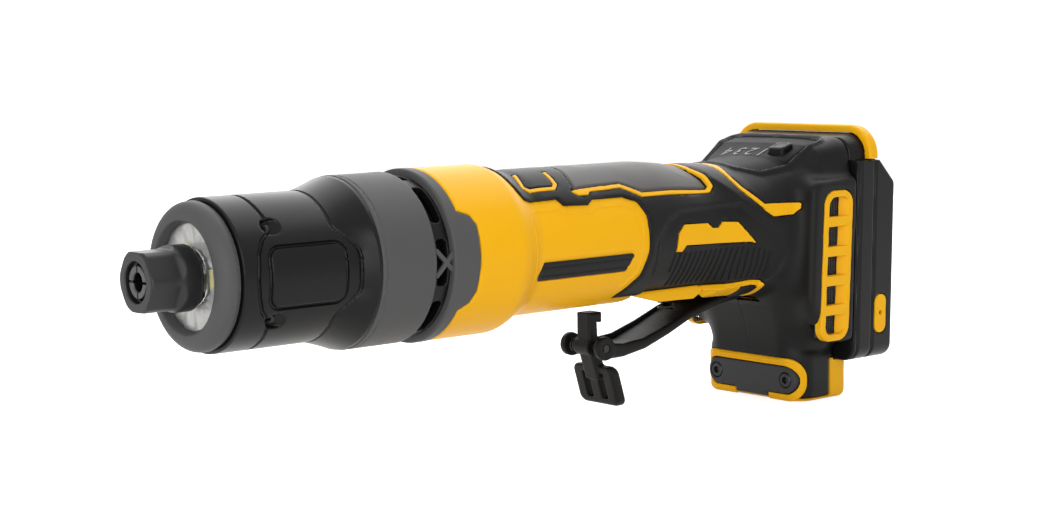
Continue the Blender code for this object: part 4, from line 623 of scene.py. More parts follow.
def glossy(name, colour, roughness, **constants):
    """Smooth lacquered plate with a faint orange peel."""
    look = Look(name, colour, roughness, **constants)
    peel = look.noise(2.5, 2.0)
    look.shade(peel, 0.92, 1.08)
    look.polish(peel, 0.03)
    look.bump(peel, 0.01)
    return look.material


def clear_plastic(name):
    """Clear lens with faint moulding swirls."""
    look = Look(name, (0.93, 0.93, 0.92), 0.06, Transmission_Weight=0.92, IOR=1.25)
    swirl = look.noise(3.0, 2.0)
    look.polish(swirl, 0.03)
    look.bump(swirl, 0.02)
    return look.material


def foil(name):
    """Satin bright reflector, a little uneven."""
    look = Look(name, (0.62, 0.61, 0.60), 0.34, 0.45)
    cells = look.node("ShaderNodeTexVoronoi", {"feature": "F1"},
                      {"Vector": look.place, "Scale": 1 / (3.5 * MM), "Randomness": 1.0})
    look.shade(cells, 0.85, 1.1)
    look.polish(cells, 0.08)
    look.bump(cells + look.noise(0.9) * 0.2, 0.08)
    return look.material


def bored(name, colour, depth):
    """Blacked steel that is darker inside its bore, where light does not reach."""
    look = Look(name, colour, 0.42, 0.4)
    station = look.node("ShaderNodeSeparateXYZ", inputs={"Vector": look.place}, output="X")
    inside = look.node("ShaderNodeMapRange", inputs={
        "Value": station, "From Min": NOSE_X + depth * MM, "From Max": NOSE_X + (depth + 0.8) * MM})
    look.shade(1.0 - inside, 0.04, 1.0)
    look.polish(look.noise(0.6), 0.05)
    look.bump(look.noise(0.5, 3.0), 0.006)
    return look.material


LOOKS = {}


def looks():
    """All finishes, made once."""
    if LOOKS:
        return LOOKS
    tones = bpy.context.scene.grinder_finishes
    LOOKS.update({
        "yellow": moulded("yellow satin plastic", tones.yellow, 0.40, 0.30, 0.008, 0.03, Specular_IOR_Level=0.12),
        "cover": moulded("black soft cover", tones.cover, 0.46, 0.28, 0.022, 0.10, Specular_IOR_Level=0.16),
        "pad": moulded("grained soft pad", tones.pad, 0.52, 0.42, 0.055, 0.14, Specular_IOR_Level=0.40),
        "black": moulded("black satin plastic", tones.black, 0.34, 0.30, 0.006, 0.08, Specular_IOR_Level=0.17),
        "lever": moulded("black lever plastic", tones.black, 0.46, 0.30, 0.010, 0.08, Specular_IOR_Level=0.15),
        "grey": moulded("grey matte plastic", tones.grey, 0.52, 0.26, 0.012, 0.05, Specular_IOR_Level=0.14),
        "chip": moulded("dark grey plate", tones.chip, 0.50, 0.26, 0.012, 0.06, Specular_IOR_Level=0.15),
        "label": glossy("bare black label", tones.black, 0.30, Specular_IOR_Level=0.15),
        "panel": glossy("display gloss", (0.006, 0.006, 0.007), 0.50, Specular_IOR_Level=0.06),
        "print": glossy("pale print", tones.print, 0.5),
        "lens": clear_plastic("clear lens"),
        "foil": foil("crinkled reflector"),
        "lamp": glossy("lamp phosphor", (0.85, 0.78, 0.30), 0.35),
        "nut": metal("black oxide steel", (0.022, 0.022, 0.023), 0.42, 0.5, 0.006, 0.5, (0.3, 1.0, 1.0)),
        "collet": bored("blacked collet steel", (0.075, 0.075, 0.076), 1.0),
        "steel": metal("ground steel", (0.45, 0.45, 0.46), 0.30, 0.5, 0.004, 1.0, (1.0, 0.2, 0.2)),
        "screw": metal("blacked screw steel", (0.028, 0.028, 0.030), 0.36, 0.5, 0.006, 0.7),
        "cast": metal("die cast metal", (0.42, 0.42, 0.43), 0.45, 0.8, 0.03),
        "copper": metal("enamelled copper", (0.60, 0.26, 0.12), 0.35, 0.4, 0.02, 1.0, (0.2, 1.0, 1.0)),
        "brass": metal("plain brass", (0.70, 0.52, 0.20), 0.30, 0.6, 0.004),
        "board": moulded("green board", (0.02, 0.14, 0.06), 0.45, 0.4, 0.02, 0.15),
        "mesh": metal("dark wire", (0.05, 0.05, 0.05), 0.45, 0.4, 0.004, 0.5),
    })
    return LOOKS


# Body of the grinder

def grip_radius(s):
    """Radius of the yellow body behind the rim."""
    return BODY_RADIUS - (BODY_RADIUS - GRIP_RADIUS) * smooth(*STEP, s)


def crest(s, h):
    """How far the grip's top stands above a round body: fuller in front, dipped before the head."""
    return sum(rise * smooth(first, last, s) for first, last, rise in CREST) * smooth(4.0, 22.0, h)


def louvre_station(s, h):
    """Station measured from the leaning line of the louvres."""
    return s - LOUVRE_LEAN * (h - LOUVRE[1][1])


def frame_station(s, h):
    """Station measured from the leaning front of the battery frame."""
    return s - FRAME_LEAN * (h - POD_TOP)


def arch(y, h, inset):
    """Front view of the foot's round top, drawn in by an inset."""
    half = POD_SIDE - inset
    return rect(y, h, (-half, -90.0), (half, ARCH_TOP - inset), np.maximum(ARCH_RADIUS - inset, 5.0))


def body(s, y, h):
    """Whole housing: grip, head, side pods, trunk and foot block."""
    grip = smax(np.sqrt(y * y + h * h) - grip_radius(s) - crest(s, h), s - 300.0, 4.0)
    side = np.abs(y) - np.interp(s, *HEAD_WIDTH)
    head = smax(smax(outline(s, h, HEAD_SIDE), side, 22.0), outline(y, h, HEAD_FRONT), 10.0)
    flare = np.maximum(arch(y, h, np.interp(s, *FLARE)), 4.0 - h)
    pod = smax(rect(louvre_station(s, h), h, (283.2, -48.2), (330.0, 18.2), 5.0), np.abs(y) - POD_SIDE, 3.0)
    pod = smax(pod, (246.0 - s - h) * 0.7071, 6.0)
    trunk = smax(rect(s, y, (284.6, -24.8), (335.0, 24.8), 9.0), np.maximum(-60.0 - h, h - 5.0), 2.0)
    block = smax(rect(s, y, (BLOCK_FRONT, -BLOCK_HALF), (335.0, BLOCK_HALF), BLOCK_CORNER), np.maximum(-73.0 - h, h + 53.0), 2.5)
    shape = smin(smin(smin(grip, head, 10.0), flare, 7.0), pod, 6.0)
    return smin(smin(shape, trunk, 9.0), block, 2.5)


def hollow(s, y, h, shape):
    """What is cut out of every shell: the inside, the paddle's channel and the lever's pocket."""
    room = shape + SHELL
    channel = np.maximum(outline(s, h, CHANNEL), np.abs(y) - 12.2)
    pocket = np.maximum(np.maximum(184.8 - s, s - 206.8), np.maximum(np.abs(y) - 4.9, h + 19.0))
    mouth = np.maximum(np.sqrt(y * y + h * h) - (BODY_RADIUS - SHELL), s - 130.0)
    louvre = np.maximum(rect(louvre_station(s, h), h, *grow(LOUVRE, 0.3), 6.3), POD_SIDE - 6.0 - np.abs(y))
    chip = np.maximum(rect(y, h, *grow(CHIP, 0.3), 6.3), s - BLOCK_FRONT - 2.6)
    button = np.maximum(np.hypot(s - BUTTON[0], y - BUTTON[1]) - BUTTON_RADIUS - 0.4, 20.0 - h)
    cuts = np.minimum(np.minimum(room, channel), np.minimum(pocket, mouth))
    return np.minimum(np.minimum(cuts, louvre), np.minimum(chip, button))


def half_cut(s, y, h, side):
    """Keeps one half, with the screw holes that the right half has."""
    keep = HALF_SEAM - side * y
    if side > 0:
        for station, height, top in CASE_SCREWS:
            hole = np.maximum(np.hypot(s - station, h - height) - 3.0, top - y)
            keep = np.maximum(keep, -hole)
    return keep


def tab_region(s, y, h):
    """Notch in the yellow front edge for the grey rim's side tab."""
    w = around(y, h, BODY_RADIUS)
    points = [(100, -19.4), (111.3, -19.4), (115.8, -16.0), (117.6, -11.5), (118.2, 0), (118.4, 12.5), (116.4, 16.4),
              (111.0, 18.6), (100, 18.6)]
    return outline(s, w, points)


def cover_raise(s, y, h):
    """How far the soft cover stands above the body, with its recess, dimple and panel brow."""
    raised = 0.9 * (1.0 - smooth(250.0, 274.0, s))
    recess = 1.0 - smooth(-2.2, 0.8, outline(s, h, RECESS))
    dimple = 1.0 - smooth(-0.4, 2.4, path(s, h, [(208.6, -1.5), (208.2, -12.0)]))
    w = around(y, h, GRIP_RADIUS)
    pad = outline(s, w, unrolled(PAD_EDGE, GRIP_RADIUS))
    bed = 1.0 - smooth(-0.1, 0.25, pad - 0.15)
    display = outline(s, y, PANEL, 2.0)
    brow = 1.0 - smooth(0.2, 1.6, np.abs(display - 1.7))
    up = smooth(16.0, 21.0, h)
    dented = np.maximum(raised - 1.7 * recess * (1 - up) - 0.8 * dimple, -0.9)
    return dented - 1.3 * bed + 0.9 * brow * up


def trims(s, y, h):
    """Distances of the yellow and black inlays on the soft cover."""
    w = around(y, h, GRIP_RADIUS)
    line = path(s, w, unrolled(PAD_LINE, GRIP_RADIUS)) - 0.95
    line = smin(line, outline(s, w, unrolled(PAD_TAB, GRIP_RADIUS), 0.2), 0.4)
    badge = np.abs(outline(s, w, unrolled(BADGE_LINE, GRIP_RADIUS), 0.6)) - 0.75
    badge = np.maximum(badge, w - 33.0)
    stripe = np.minimum(path(s, h, STRIPE) - 0.95, outline(s, h, STRIPE_END, 0.4))
    return {"line": np.maximum(line, h * 0 + 4.0 - h), "badge": badge, "stripe": stripe,
            "plate": outline(s, h, PLATE, 0.2), "hook": path(s, h, HOOK) - 1.05}


def cover_shape(s, y, h, side):
    """One half of the black soft cover."""
    shape = body(s, y, h)
    raised = cover_raise(s, y, h)
    region = outline(s, h, COVER_EDGE, 0.8)
    region = np.maximum(region, frame_station(s, h) - FRAME_STATIONS[0] + 0.4)
    region = np.maximum(region, np.maximum(-71.6 - h, np.minimum(-56.0 - h, s - BLOCK_COVER_END)))
    skin = smax(shape - raised, region, 1.5)
    groove = np.inf
    for inlay in trims(s, y, h).values():
        groove = np.minimum(groove, inlay - 0.35)
    groove = np.maximum(groove, 0.35 + raised - 1.0 - shape)
    surround = np.maximum(chip_surround(s, y, h) - 0.3, s - BLOCK_FRONT - BLOCK_CORNER)
    surround = np.maximum(surround, -(shape + 1.6))
    window = np.maximum(outline(s, y, PANEL, 2.0), 16.0 - h)
    skin = np.maximum(np.maximum(skin, -groove), -np.minimum(surround, window))
    skin = np.maximum(skin, -hollow(s, y, h, shape))
    return np.maximum(np.maximum(skin, -(shape + COVER_BED - 0.2)), half_cut(s, y, h, side))


def housing_shape(s, y, h, side):
    """One half of the yellow housing."""
    shape = body(s, y, h)
    bed = np.maximum(outline(s, h, COVER_EDGE, 0.65), -(shape + COVER_BED))
    bed = np.maximum(bed, np.maximum(-71.8 - h, np.minimum(-56.2 - h, s - BLOCK_COVER_END - 0.2)))
    front = np.maximum(111.5 - s, -tab_region(s, y, h))
    label = np.maximum(outline(s, h, LABEL_PLATE, 1.2) - 0.25, -(shape + 0.5))
    label = np.maximum(label, y + 5.0)
    edge = smax(smax(shape, front, 0.8), s - BLOCK_TAIL, 5.0)
    shell = np.maximum(np.maximum(edge, -bed), -label)
    frame_room = np.maximum(FRAME_BOTTOM - 0.3 - h, FRAME_STATIONS[0] - 0.3 - frame_station(s, h))
    shell = np.maximum(shell, -frame_room)
    shell = np.maximum(shell, -hollow(s, y, h, shape))
    flange = smax(outline(s, h, FLANGE), np.maximum(np.abs(y) - 14.9, 12.4 - np.abs(y)), 0.8)
    return np.maximum(np.minimum(shell, flange), half_cut(s, y, h, side))


def inlay_shape(name, rise):
    """A function for one inlay, a little proud of the soft cover."""
    def shape(s, y, h):
        skin = body(s, y, h) - cover_raise(s, y, h)
        return np.maximum(smax(trims(s, y, h)[name], skin - rise, 0.35), -(skin + 0.8))
    return shape


def pad_shape(s, y, h):
    """Soft pad over the top of the grip, crowned towards its middle."""
    r = np.hypot(y, h)
    w = around(y, h, GRIP_RADIUS)
    region = outline(s, w, unrolled(PAD_EDGE, GRIP_RADIUS))
    base = GRIP_RADIUS + crest(s, h)
    top = r - (base + 0.95 + 0.5 * smooth(0.0, 12.0, -region))
    return np.maximum(smax(region, top, 1.6), base - 0.15 - r)


def label_shape(s, y, h):
    """Bare black plate on the side of the grip."""
    shape = body(s, y, h)
    plate = smax(outline(s, h, LABEL_PLATE, 1.2), shape - 0.05, 0.3)
    return np.maximum(np.maximum(plate, -(shape + 0.45)), y + 5.0)


def panel_shape(s, y, h):
    """Glossy display panel in the head's top."""
    shape = body(s, y, h)
    hole = np.hypot(s - BUTTON[0], y - BUTTON[1]) - BUTTON_RADIUS - 0.4
    plate = smax(outline(s, y, PANEL, 1.8), shape + PANEL_SUNK, 0.4)
    return np.maximum(np.maximum(plate, -hole), np.maximum(-(shape + 2.1), 16.0 - h))


def button_shape(s, y, h):
    """Speed button with rounded corners."""
    side = rect(s, y, (BUTTON[0] - 3.6, BUTTON[1] - 4.2), (BUTTON[0] + 3.6, BUTTON[1] + 4.2), 1.8)
    return np.maximum(smax(side, button_top(s, h), 0.9), 26.2 - h)


def button_top(s, h):
    """Height above the slanted top of the speed button."""
    return h - BUTTON_TOP - BUTTON_SLOPE * (s - BUTTON[0])


def button_mark_shape(s, y, h):
    """Pale printed outline on the speed button."""
    ring = np.abs(rect(s, y, (BUTTON[0] - 2.3, BUTTON[1] - 2.9), (BUTTON[0] + 2.3, BUTTON[1] + 2.9), 1.0)) - 0.28
    return np.maximum(ring, np.abs(button_top(s, h) - 0.05) - 0.08)


def block_width(s, y):
    """Arc length across the front of the foot block, round its corners."""
    out = np.abs(y) - BLOCK_HALF + BLOCK_CORNER
    turn = np.arctan2(out, np.maximum(BLOCK_FRONT + BLOCK_CORNER - s, 0.01))
    return np.where(out > 0, BLOCK_HALF - BLOCK_CORNER + BLOCK_CORNER * turn, np.abs(y))


def chip_surround(s, y, h):
    """Front view of the yellow band round the chip cover, open at the middle of its foot."""
    outer = rect(block_width(s, y), h, (-28.4, -73.2), (28.4, -55.1), 8.6)
    band = np.maximum(outer, -rect(y, h, *grow(CHIP, 0.45), 5.8))
    return np.maximum(band, -rect(y, h, (-9.8, -80.0), (8.8, -68.0), 1.0))


def grow(box, by):
    """Corners of a rectangle moved outwards."""
    return (box[0][0] - by, box[0][1] - by), (box[1][0] + by, box[1][1] + by)


def surround_shape(s, y, h):
    """Yellow band round the chip cover."""
    shape = body(s, y, h)
    face = smax(chip_surround(s, y, h), shape - 0.5, 0.6)
    return np.maximum(np.maximum(face, s - BLOCK_FRONT - BLOCK_CORNER), -(shape + 1.4))


def chip_shape(s, y, h):
    """Dark grey cover plate with two counterbores."""
    lower = rect(y, h, (-9.2, -72.6), (8.2, -60.0), 1.2)
    face = smax(smin(rect(y, h, *CHIP, 5.4), lower, 0.5), BLOCK_FRONT - 0.8 - s, 0.9)
    plate = np.maximum(face, s - BLOCK_FRONT - 2.2)
    for across, height in CHIP_SCREWS:
        hole = np.maximum(np.hypot(y - across, h - height) - 3.35, s - BLOCK_FRONT - 0.9)
        plate = smax(plate, -hole, 0.3)
    return plate


# Nose

def ring_shape(s, y, h):
    """Grey nose ring with a rounded front and a tapered opening that holds the lens back."""
    r = np.hypot(y, h)
    outer = rect(s, r, (RING[0], -60.0), (60.0, RING_RADIUS), 4.4)
    land = np.maximum(outer, r - (RING_RADIUS - 0.6 * smooth(RING[1] - 1.4, RING[1] - 1.0, s)))
    opening = np.where(s < LENS_FRONT - 0.15, np.interp(s, [RING[0], LENS_FRONT], [19.0, 17.5]), RING_OPENING + 0.9)
    return np.maximum(smax(land, opening - r, 0.5), s - RING[1])


def lens_shape(s, y, h):
    """Clear light lens with shallow fans cut into its front."""
    r = np.hypot(y, h)
    angle = np.arctan2(h, y)
    fans = 0.10 * np.abs(((angle * LENS_FANS / pi) % 2.0) - 1.0)
    return np.maximum(np.maximum(LENS_FRONT + fans - s, s - 21.7), np.maximum(r - LENS_RADII[1], LENS_RADII[0] - r))


def reflector_shape(s, y, h):
    """Bright reflector behind the lens, folded into flat fans round each lamp."""
    r = np.hypot(y, h)
    angle = np.arctan2(h, y)
    folds = 0.55 * np.abs(((angle * LENS_FANS / pi + 0.06 * r) % 2.0) - 1.0)
    front = 22.4 + folds - 0.05 * (r - LENS_RADII[0]) - s
    return np.maximum(np.maximum(front, s - 23.0), np.maximum(r - LENS_RADII[1], LENS_RADII[0] - r))


def lamp_shape(s, y, h):
    """Three long lamp chips, one of them at the near side."""
    best = np.inf
    for index in range(3):
        angle = 2 * pi * index / 3
        out = -y * cos(angle) + h * sin(angle) - LAMP_RADIUS
        along = y * sin(angle) + h * cos(angle)
        best = np.minimum(best, rect(out, along, (-0.8, -3.2), (0.8, 3.2), 0.6))
    return np.maximum(smax(best, 21.9 - s, 0.3), s - 23.0)


def board_shape(s, y, h):
    """Round board that carries the lamps."""
    r = np.hypot(y, h)
    return np.maximum(np.abs(s - 23.6) - 0.55, np.maximum(r - LENS_RADII[1], LENS_RADII[0] - r))


def nut_shape(s, y, h):
    """Collet nut: six flats that run out into a round collar, and a deep mouth."""
    r = np.hypot(y, h)
    turn = [np.abs(y * cos(a) + h * sin(a)) for a in (pi / 2, pi / 6, -pi / 6)]
    flats = np.maximum(np.maximum(turn[0], turn[1]), turn[2]) - 9.8 - 1.6 * smooth(10.5, 14.0, s)
    outer = smax(np.maximum(r - 10.7 - 0.4 * smooth(9.0, 13.0, s), (r - 10.1 - s) * 0.7), flats, 0.3)
    outer = smax(outer, (r - 29.6 + s) * 0.7, 0.4)
    bore = np.interp(s, [0.0, 0.3, 2.2, 2.6, 4.5], [7.1, 6.85, 6.85, 6.15, 8.15]) - r
    return np.maximum(np.maximum(smax(outer, -s, 0.3), s - 19.5), bore)


def collet_shape(s, y, h):
    """Slit collet inside the nut's mouth."""
    r = np.hypot(y, h)
    outer = smax(r - 5.4 - 0.3 * smooth(2.0, 2.4, s), 0.7 - s, 0.3)
    bore = 3.175 + 0.25 * (1.0 - smooth(0.7, 1.2, s)) - r
    slit = np.maximum(np.minimum(np.abs(y), np.abs(h)) - 0.42, s - 9.0)
    return np.maximum(np.maximum(smax(outer, bore, 0.15), -slit), s - 12.0)


def barrel_shape(s, y, h):
    """Black nose barrel: flare with a scalloped edge, grooves, screw pockets and a bare badge pad."""
    r = np.hypot(y, h)
    w = around(y, h, BARREL_RADIUS)
    angle = np.degrees(w / BARREL_RADIUS)
    start = 62.0 + 8.6 * (1.0 - smooth(12.0, 38.0, np.abs(angle)))
    run = np.clip((s - start) / (75.2 - start), 0.0, 1.0)
    radius = BARREL_RADIUS + (COLLAR_RADIUS - 0.3 - BARREL_RADIUS) * run ** 1.25
    outer = r - radius
    crease = np.hypot((s - start) * 0.8, r - BARREL_RADIUS - 0.1) - 0.55
    groove = np.hypot(path(s, w, unrolled(BARREL_GROOVE, BARREL_RADIUS)), (r - BARREL_RADIUS) * 0.8) - 0.7
    badge = rect(s, w, *BADGE_PAD, 4.0)
    moat = np.hypot(badge - 0.4, (r - BARREL_RADIUS) * 0.8) - 0.7
    raised = outer - 0.35 * (1.0 - smooth(-0.7, -0.1, badge))
    shape = smax(np.where(badge < 0.2, raised, outer), BARREL[0] + 0.2 - s, 0.8)
    for place in POCKET_ANGLES:
        across = w - BARREL_RADIUS * radians(place)
        ramp = 22.6 + 0.45 * (s - POCKET_STATION + POCKET_RADIUS)
        reach = np.hypot(np.maximum(np.abs(s - POCKET_STATION) - 0.6, 0), across) - POCKET_RADIUS
        pocket = smax(reach, ramp - r, 0.5)
        shape = smax(shape, -pocket, 0.35)
    shape = np.maximum(np.maximum(shape, -crease), np.maximum(-groove, -moat))
    return np.maximum(np.maximum(shape, 20.5 - r), s - BARREL[1])


def collar_shape(s, y, h):
    """Grey collar behind the barrel."""
    r = np.hypot(y, h)
    outer = rect(s, r, (COLLAR[0], -60.0), (COLLAR[1], COLLAR_RADIUS), 0.7)
    line = np.hypot(s - 78.4, r - COLLAR_RADIUS) - 0.3
    notch = np.maximum(np.abs(y) - 0.35, np.hypot(s - 96.0, r - COLLAR_RADIUS) - 3.2)
    return np.maximum(np.maximum(outer, 26.5 - r), -np.minimum(line, notch))


def vent_shape(s, y, h):
    """Black vent ring with eight windows."""
    r = np.hypot(y, h)
    angle = np.arctan2(h, y)
    pitch = pi / 4
    swing = (angle + pitch / 2) % pitch - pitch / 2
    window = rect(s, swing * VENT_RADIUS, (100.7, -8.2), (105.0, 8.2), 1.4)
    ring = smax(rect(s, r, (VENT[0], -60.0), (VENT[1], VENT_RADIUS), 0.4), -window, 0.4)
    return np.maximum(ring, 25.6 - r)


def rim_shape(s, y, h):
    """Grey rim with side tabs and crossed ribs over the vent."""
    r = np.hypot(y, h)
    w = around(y, h, BODY_RADIUS)
    ring = np.maximum(np.abs(s - (RIM[0] + RIM[1]) / 2) - (RIM[1] - RIM[0]) / 2, 25.7 - r)
    tab = np.maximum(np.maximum(tab_region(s, y, h) + 0.25, 108.0 - s), 28.7 - r)
    cross = np.minimum(path(s, w, [(99.8, 4.6), (107.0, -3.4)]), path(s, w, [(99.8, -4.6), (107.0, 3.4)])) - 0.8
    cross = np.maximum(np.maximum(cross, 99.5 - s), np.maximum(28.7 - r, r - 29.7))
    shape = smax(np.minimum(ring, tab), r - BODY_RADIUS - 0.12, 0.9)
    return np.minimum(shape, np.maximum(cross, s - 107.5))


# Foot pieces

def louvre_windows(s, y, h):
    """Windows of a side louvre, with a rear wall that slants inwards."""
    low, high = LOUVRE[0][1] + LOUVRE_RIM, LOUVRE[1][1] - LOUVRE_RIM
    pitch = (high - low + LOUVRE_BAR) / LOUVRE_WINDOWS
    swing = (h - low) % pitch
    across = np.abs(swing - (pitch - LOUVRE_BAR) / 2) - (pitch - LOUVRE_BAR) / 2
    across = np.where((h > low - 0.5) & (h < high + 0.5), across, 9.0)
    depth = np.clip(POD_SIDE + 0.4 - np.abs(y), 0.0, 4.0)
    along = louvre_station(s, h)
    ends = rect(along, h, (LOUVRE[0][0] + LOUVRE_RIM, low), (LOUVRE[1][0] - LOUVRE_RIM, high), 3.8)
    return np.maximum(np.maximum(across, ends), along - (LOUVRE[1][0] - LOUVRE_RIM - 0.9 * depth))


def louvre_shape(s, y, h, side):
    """Yellow side louvre."""
    across = side * y
    frame_edge = rect(louvre_station(s, h), h, *LOUVRE, 6.0)
    face = smax(frame_edge, across - POD_SIDE - 0.4, 0.8)
    face = np.maximum(face, POD_SIDE - 3.0 - across)
    return smax(face, -louvre_windows(s, y, h), 0.5)


def bumper_shape(s, y, h):
    """Yellow bumper band over the top of the foot."""
    along = np.abs(frame_station(s, h) - sum(BUMPER) / 2) - (BUMPER[1] - BUMPER[0]) / 2
    band = smax(smax(along, arch(y, h, 0.0), 1.3), -arch(y, h, BUMPER_THICKNESS), 0.5)
    return np.maximum(band, SHOULDER - h)


def frame_shape(s, y, h):
    """Black battery frame: rounded side plates, rail groove and terminal window."""
    s = frame_station(s, h)
    corner = rect(y, h, (-POD_SIDE, FRAME_BOTTOM), (POD_SIDE, 90.0), 6.0)
    crown = np.maximum(arch(y, h, np.interp(s, *FLARE)), s - BUMPER[1] + 0.2)
    plate = smax(corner, (s + h - FRAME_STATIONS[1] - 15.5) * 0.7071, 1.2)
    side = np.where(h > SHOULDER - 0.3, crown, plate)
    shape = smax(side, np.maximum(FRAME_STATIONS[0] - s, s - FRAME_STATIONS[1]), 1.0)
    for seam in FRAME_SEAMS:
        shape = smax(shape, 0.55 - np.hypot(s - seam, np.maximum(-corner, 0.0) * 0.7), 0.8)
    groove = np.maximum(np.maximum(314.3 - s, s - 327.0), np.maximum(np.abs(y) - 29.0, h - 14.0))
    mouth = np.maximum(326.7 - s, np.maximum(np.abs(y) - 25.0, h - 14.0))
    slot = np.maximum(np.abs(y) - 15.3, np.abs(h + 8.0) - 12.3)
    sole = np.maximum(s - BLOCK_TAIL - 3.0, np.maximum(np.abs(y) - 27.6, h - FRAME_BOTTOM))
    hatch = np.maximum(frame_tab(s, h) - 0.3, POD_SIDE - 1.2 - np.abs(y))
    cuts = np.minimum(np.minimum(groove, mouth), np.minimum(np.minimum(slot, sole), hatch))
    return smax(shape, -cuts, 0.4)


def frame_tab(s, h):
    """Side view of the yellow insert, with s along the leaning frame."""
    return rect(s, h, (322.0, -46.4), (328.8, -30.6), 3.2)


def tab_shape(s, y, h):
    """Small yellow inserts with a hole on both sides of the frame."""
    along = frame_station(s, h)
    face = smax(frame_tab(along, h), np.abs(y) - POD_SIDE - 0.25, 0.5)
    hole = np.hypot(along - 325.4, h + 38.2) - 1.0
    return np.maximum(np.maximum(face, -hole), POD_SIDE - 1.1 - np.abs(y))


# Paddle and lever

def paddle_shape(s, y, h):
    """Paddle: a rounded trough with a hub behind and two ears in front."""
    profile = [(PADDLE_PIVOT[0] - d, PADDLE_PIVOT[1] + drop) for d, drop in PADDLE_LOWER + PADDLE_UPPER[::-1]]
    across = np.abs(y)
    shape = smax(outline(s, h, profile), across - PADDLE_HALF, 2.2)
    hub = smax(np.hypot(s - PADDLE_PIVOT[0], h - PADDLE_PIVOT[1]) - 3.4, across - PADDLE_HALF, 0.6)
    ear = smax(np.hypot(s - LEVER_PIVOT[0], h - LEVER_PIVOT[1]) - 4.5, across - PADDLE_HALF, 0.9)
    shape = smin(np.minimum(shape, hub), ear, 1.0)
    floor = [(PADDLE_PIVOT[0] - d, PADDLE_PIVOT[1] + drop + 2.4) for d, drop in PADDLE_LOWER[1:]]
    trough = floor + [(floor[-1][0], 0.0), (floor[0][0], 0.0)]
    cavity = np.maximum(outline(s, h, trough), across - PADDLE_HALF + 2.4)
    gap = np.maximum(s - LEVER_PIVOT[0] - 8.7, across - PADDLE_HALF + 2.6)
    hub_hole = np.hypot(s - PADDLE_PIVOT[0], h - PADDLE_PIVOT[1]) - 1.8
    ear_hole = np.hypot(s - LEVER_PIVOT[0], h - LEVER_PIVOT[1]) - 1.8
    shape = smax(shape, -cavity, 0.6)
    return np.maximum(smax(shape, -gap, 0.5), -np.minimum(hub_hole, ear_hole))


def lever_shape(s, y, h):
    """Lock-off lever: an arm with a hook above and a slotted finger tab below."""
    x = LEVER_PIVOT[0]
    arm = [(x - 1.6, -29.3), (x - 1.6, -42.0), (x + 2.6, -54.7), (x + 7.0, -54.7), (x + 2.1, -42.0), (x + 1.6, -32.0),
           (x + 4.0, -32.4), (x + 4.0, -29.3)]
    across = np.abs(y)
    bar = smax(outline(s, h, arm, 0.5), across - 4.0, 1.4)
    hub = smax(np.hypot(s - x, h - LEVER_PIVOT[1]) - 3.6, across - 4.0, 0.5)
    face = rect(y, h, (-11.0, LEVER_TAB[0]), (11.0, LEVER_TAB[1]), 3.2)
    lean = s - x - 3.8 - LEVER_LEAN * (LEVER_TAB[1] - h)
    tab = smax(face, np.abs(lean) * 0.95 - 2.3, 1.5)
    slot = rect(across, h, (2.4, LEVER_TAB[0] + 2.6), (5.8, LEVER_TAB[1] - 2.8), 0.8)
    shape = smin(np.minimum(bar, hub), smax(tab, -slot, 0.6), 0.8)
    hole = np.hypot(s - x, h - LEVER_PIVOT[1]) - 1.8
    return np.maximum(shape, -hole)


# Sizes and finishes that a user would change

class GrinderFinishes(bpy.types.PropertyGroup):
    """Base colours of the grinder's finishes."""
    yellow: bpy.props.FloatVectorProperty(name="Yellow", description="Housing, louvres and bumper", subtype="COLOR",
                                          default=(0.92, 0.465, 0.006), min=0, max=1)
    cover: bpy.props.FloatVectorProperty(name="Soft cover", description="Black cover of grip and foot",
                                         subtype="COLOR", default=(0.0056, 0.0054, 0.0053), min=0, max=1)
    pad: bpy.props.FloatVectorProperty(name="Pad", description="Grained pad on top of the grip", subtype="COLOR",
                                       default=(0.060, 0.056, 0.054), min=0, max=1)
    black: bpy.props.FloatVectorProperty(name="Black plastic", description="Barrel, paddle, lever and frame",
                                         subtype="COLOR", default=(0.0052, 0.0051, 0.0050), min=0, max=1)
    grey: bpy.props.FloatVectorProperty(name="Grey plastic", description="Nose ring, collar and rim",
                                        subtype="COLOR", default=(0.085, 0.085, 0.086), min=0, max=1)
    chip: bpy.props.FloatVectorProperty(name="Chip cover", description="Plate low on the foot", subtype="COLOR",
                                        default=(0.050, 0.050, 0.052), min=0, max=1)
    print: bpy.props.FloatVectorProperty(name="Print", description="Numbers on the display", subtype="COLOR",
                                         default=(0.13, 0.13, 0.13), min=0, max=1)


class GrinderFineness(bpy.types.PropertyGroup):
    """How fine the nets are."""
    shell: bpy.props.FloatProperty(name="Shell step", description="Net step of housing and cover in mm",
                                   default=0.8, min=0.3, max=3.0)
    piece: bpy.props.FloatProperty(name="Piece step", description="Net step of middle-sized pieces in mm",
                                   default=0.5, min=0.2, max=2.0)
    fine: bpy.props.FloatProperty(name="Fine step", description="Net step of small pieces in mm",
                                  default=0.3, min=0.1, max=1.0)


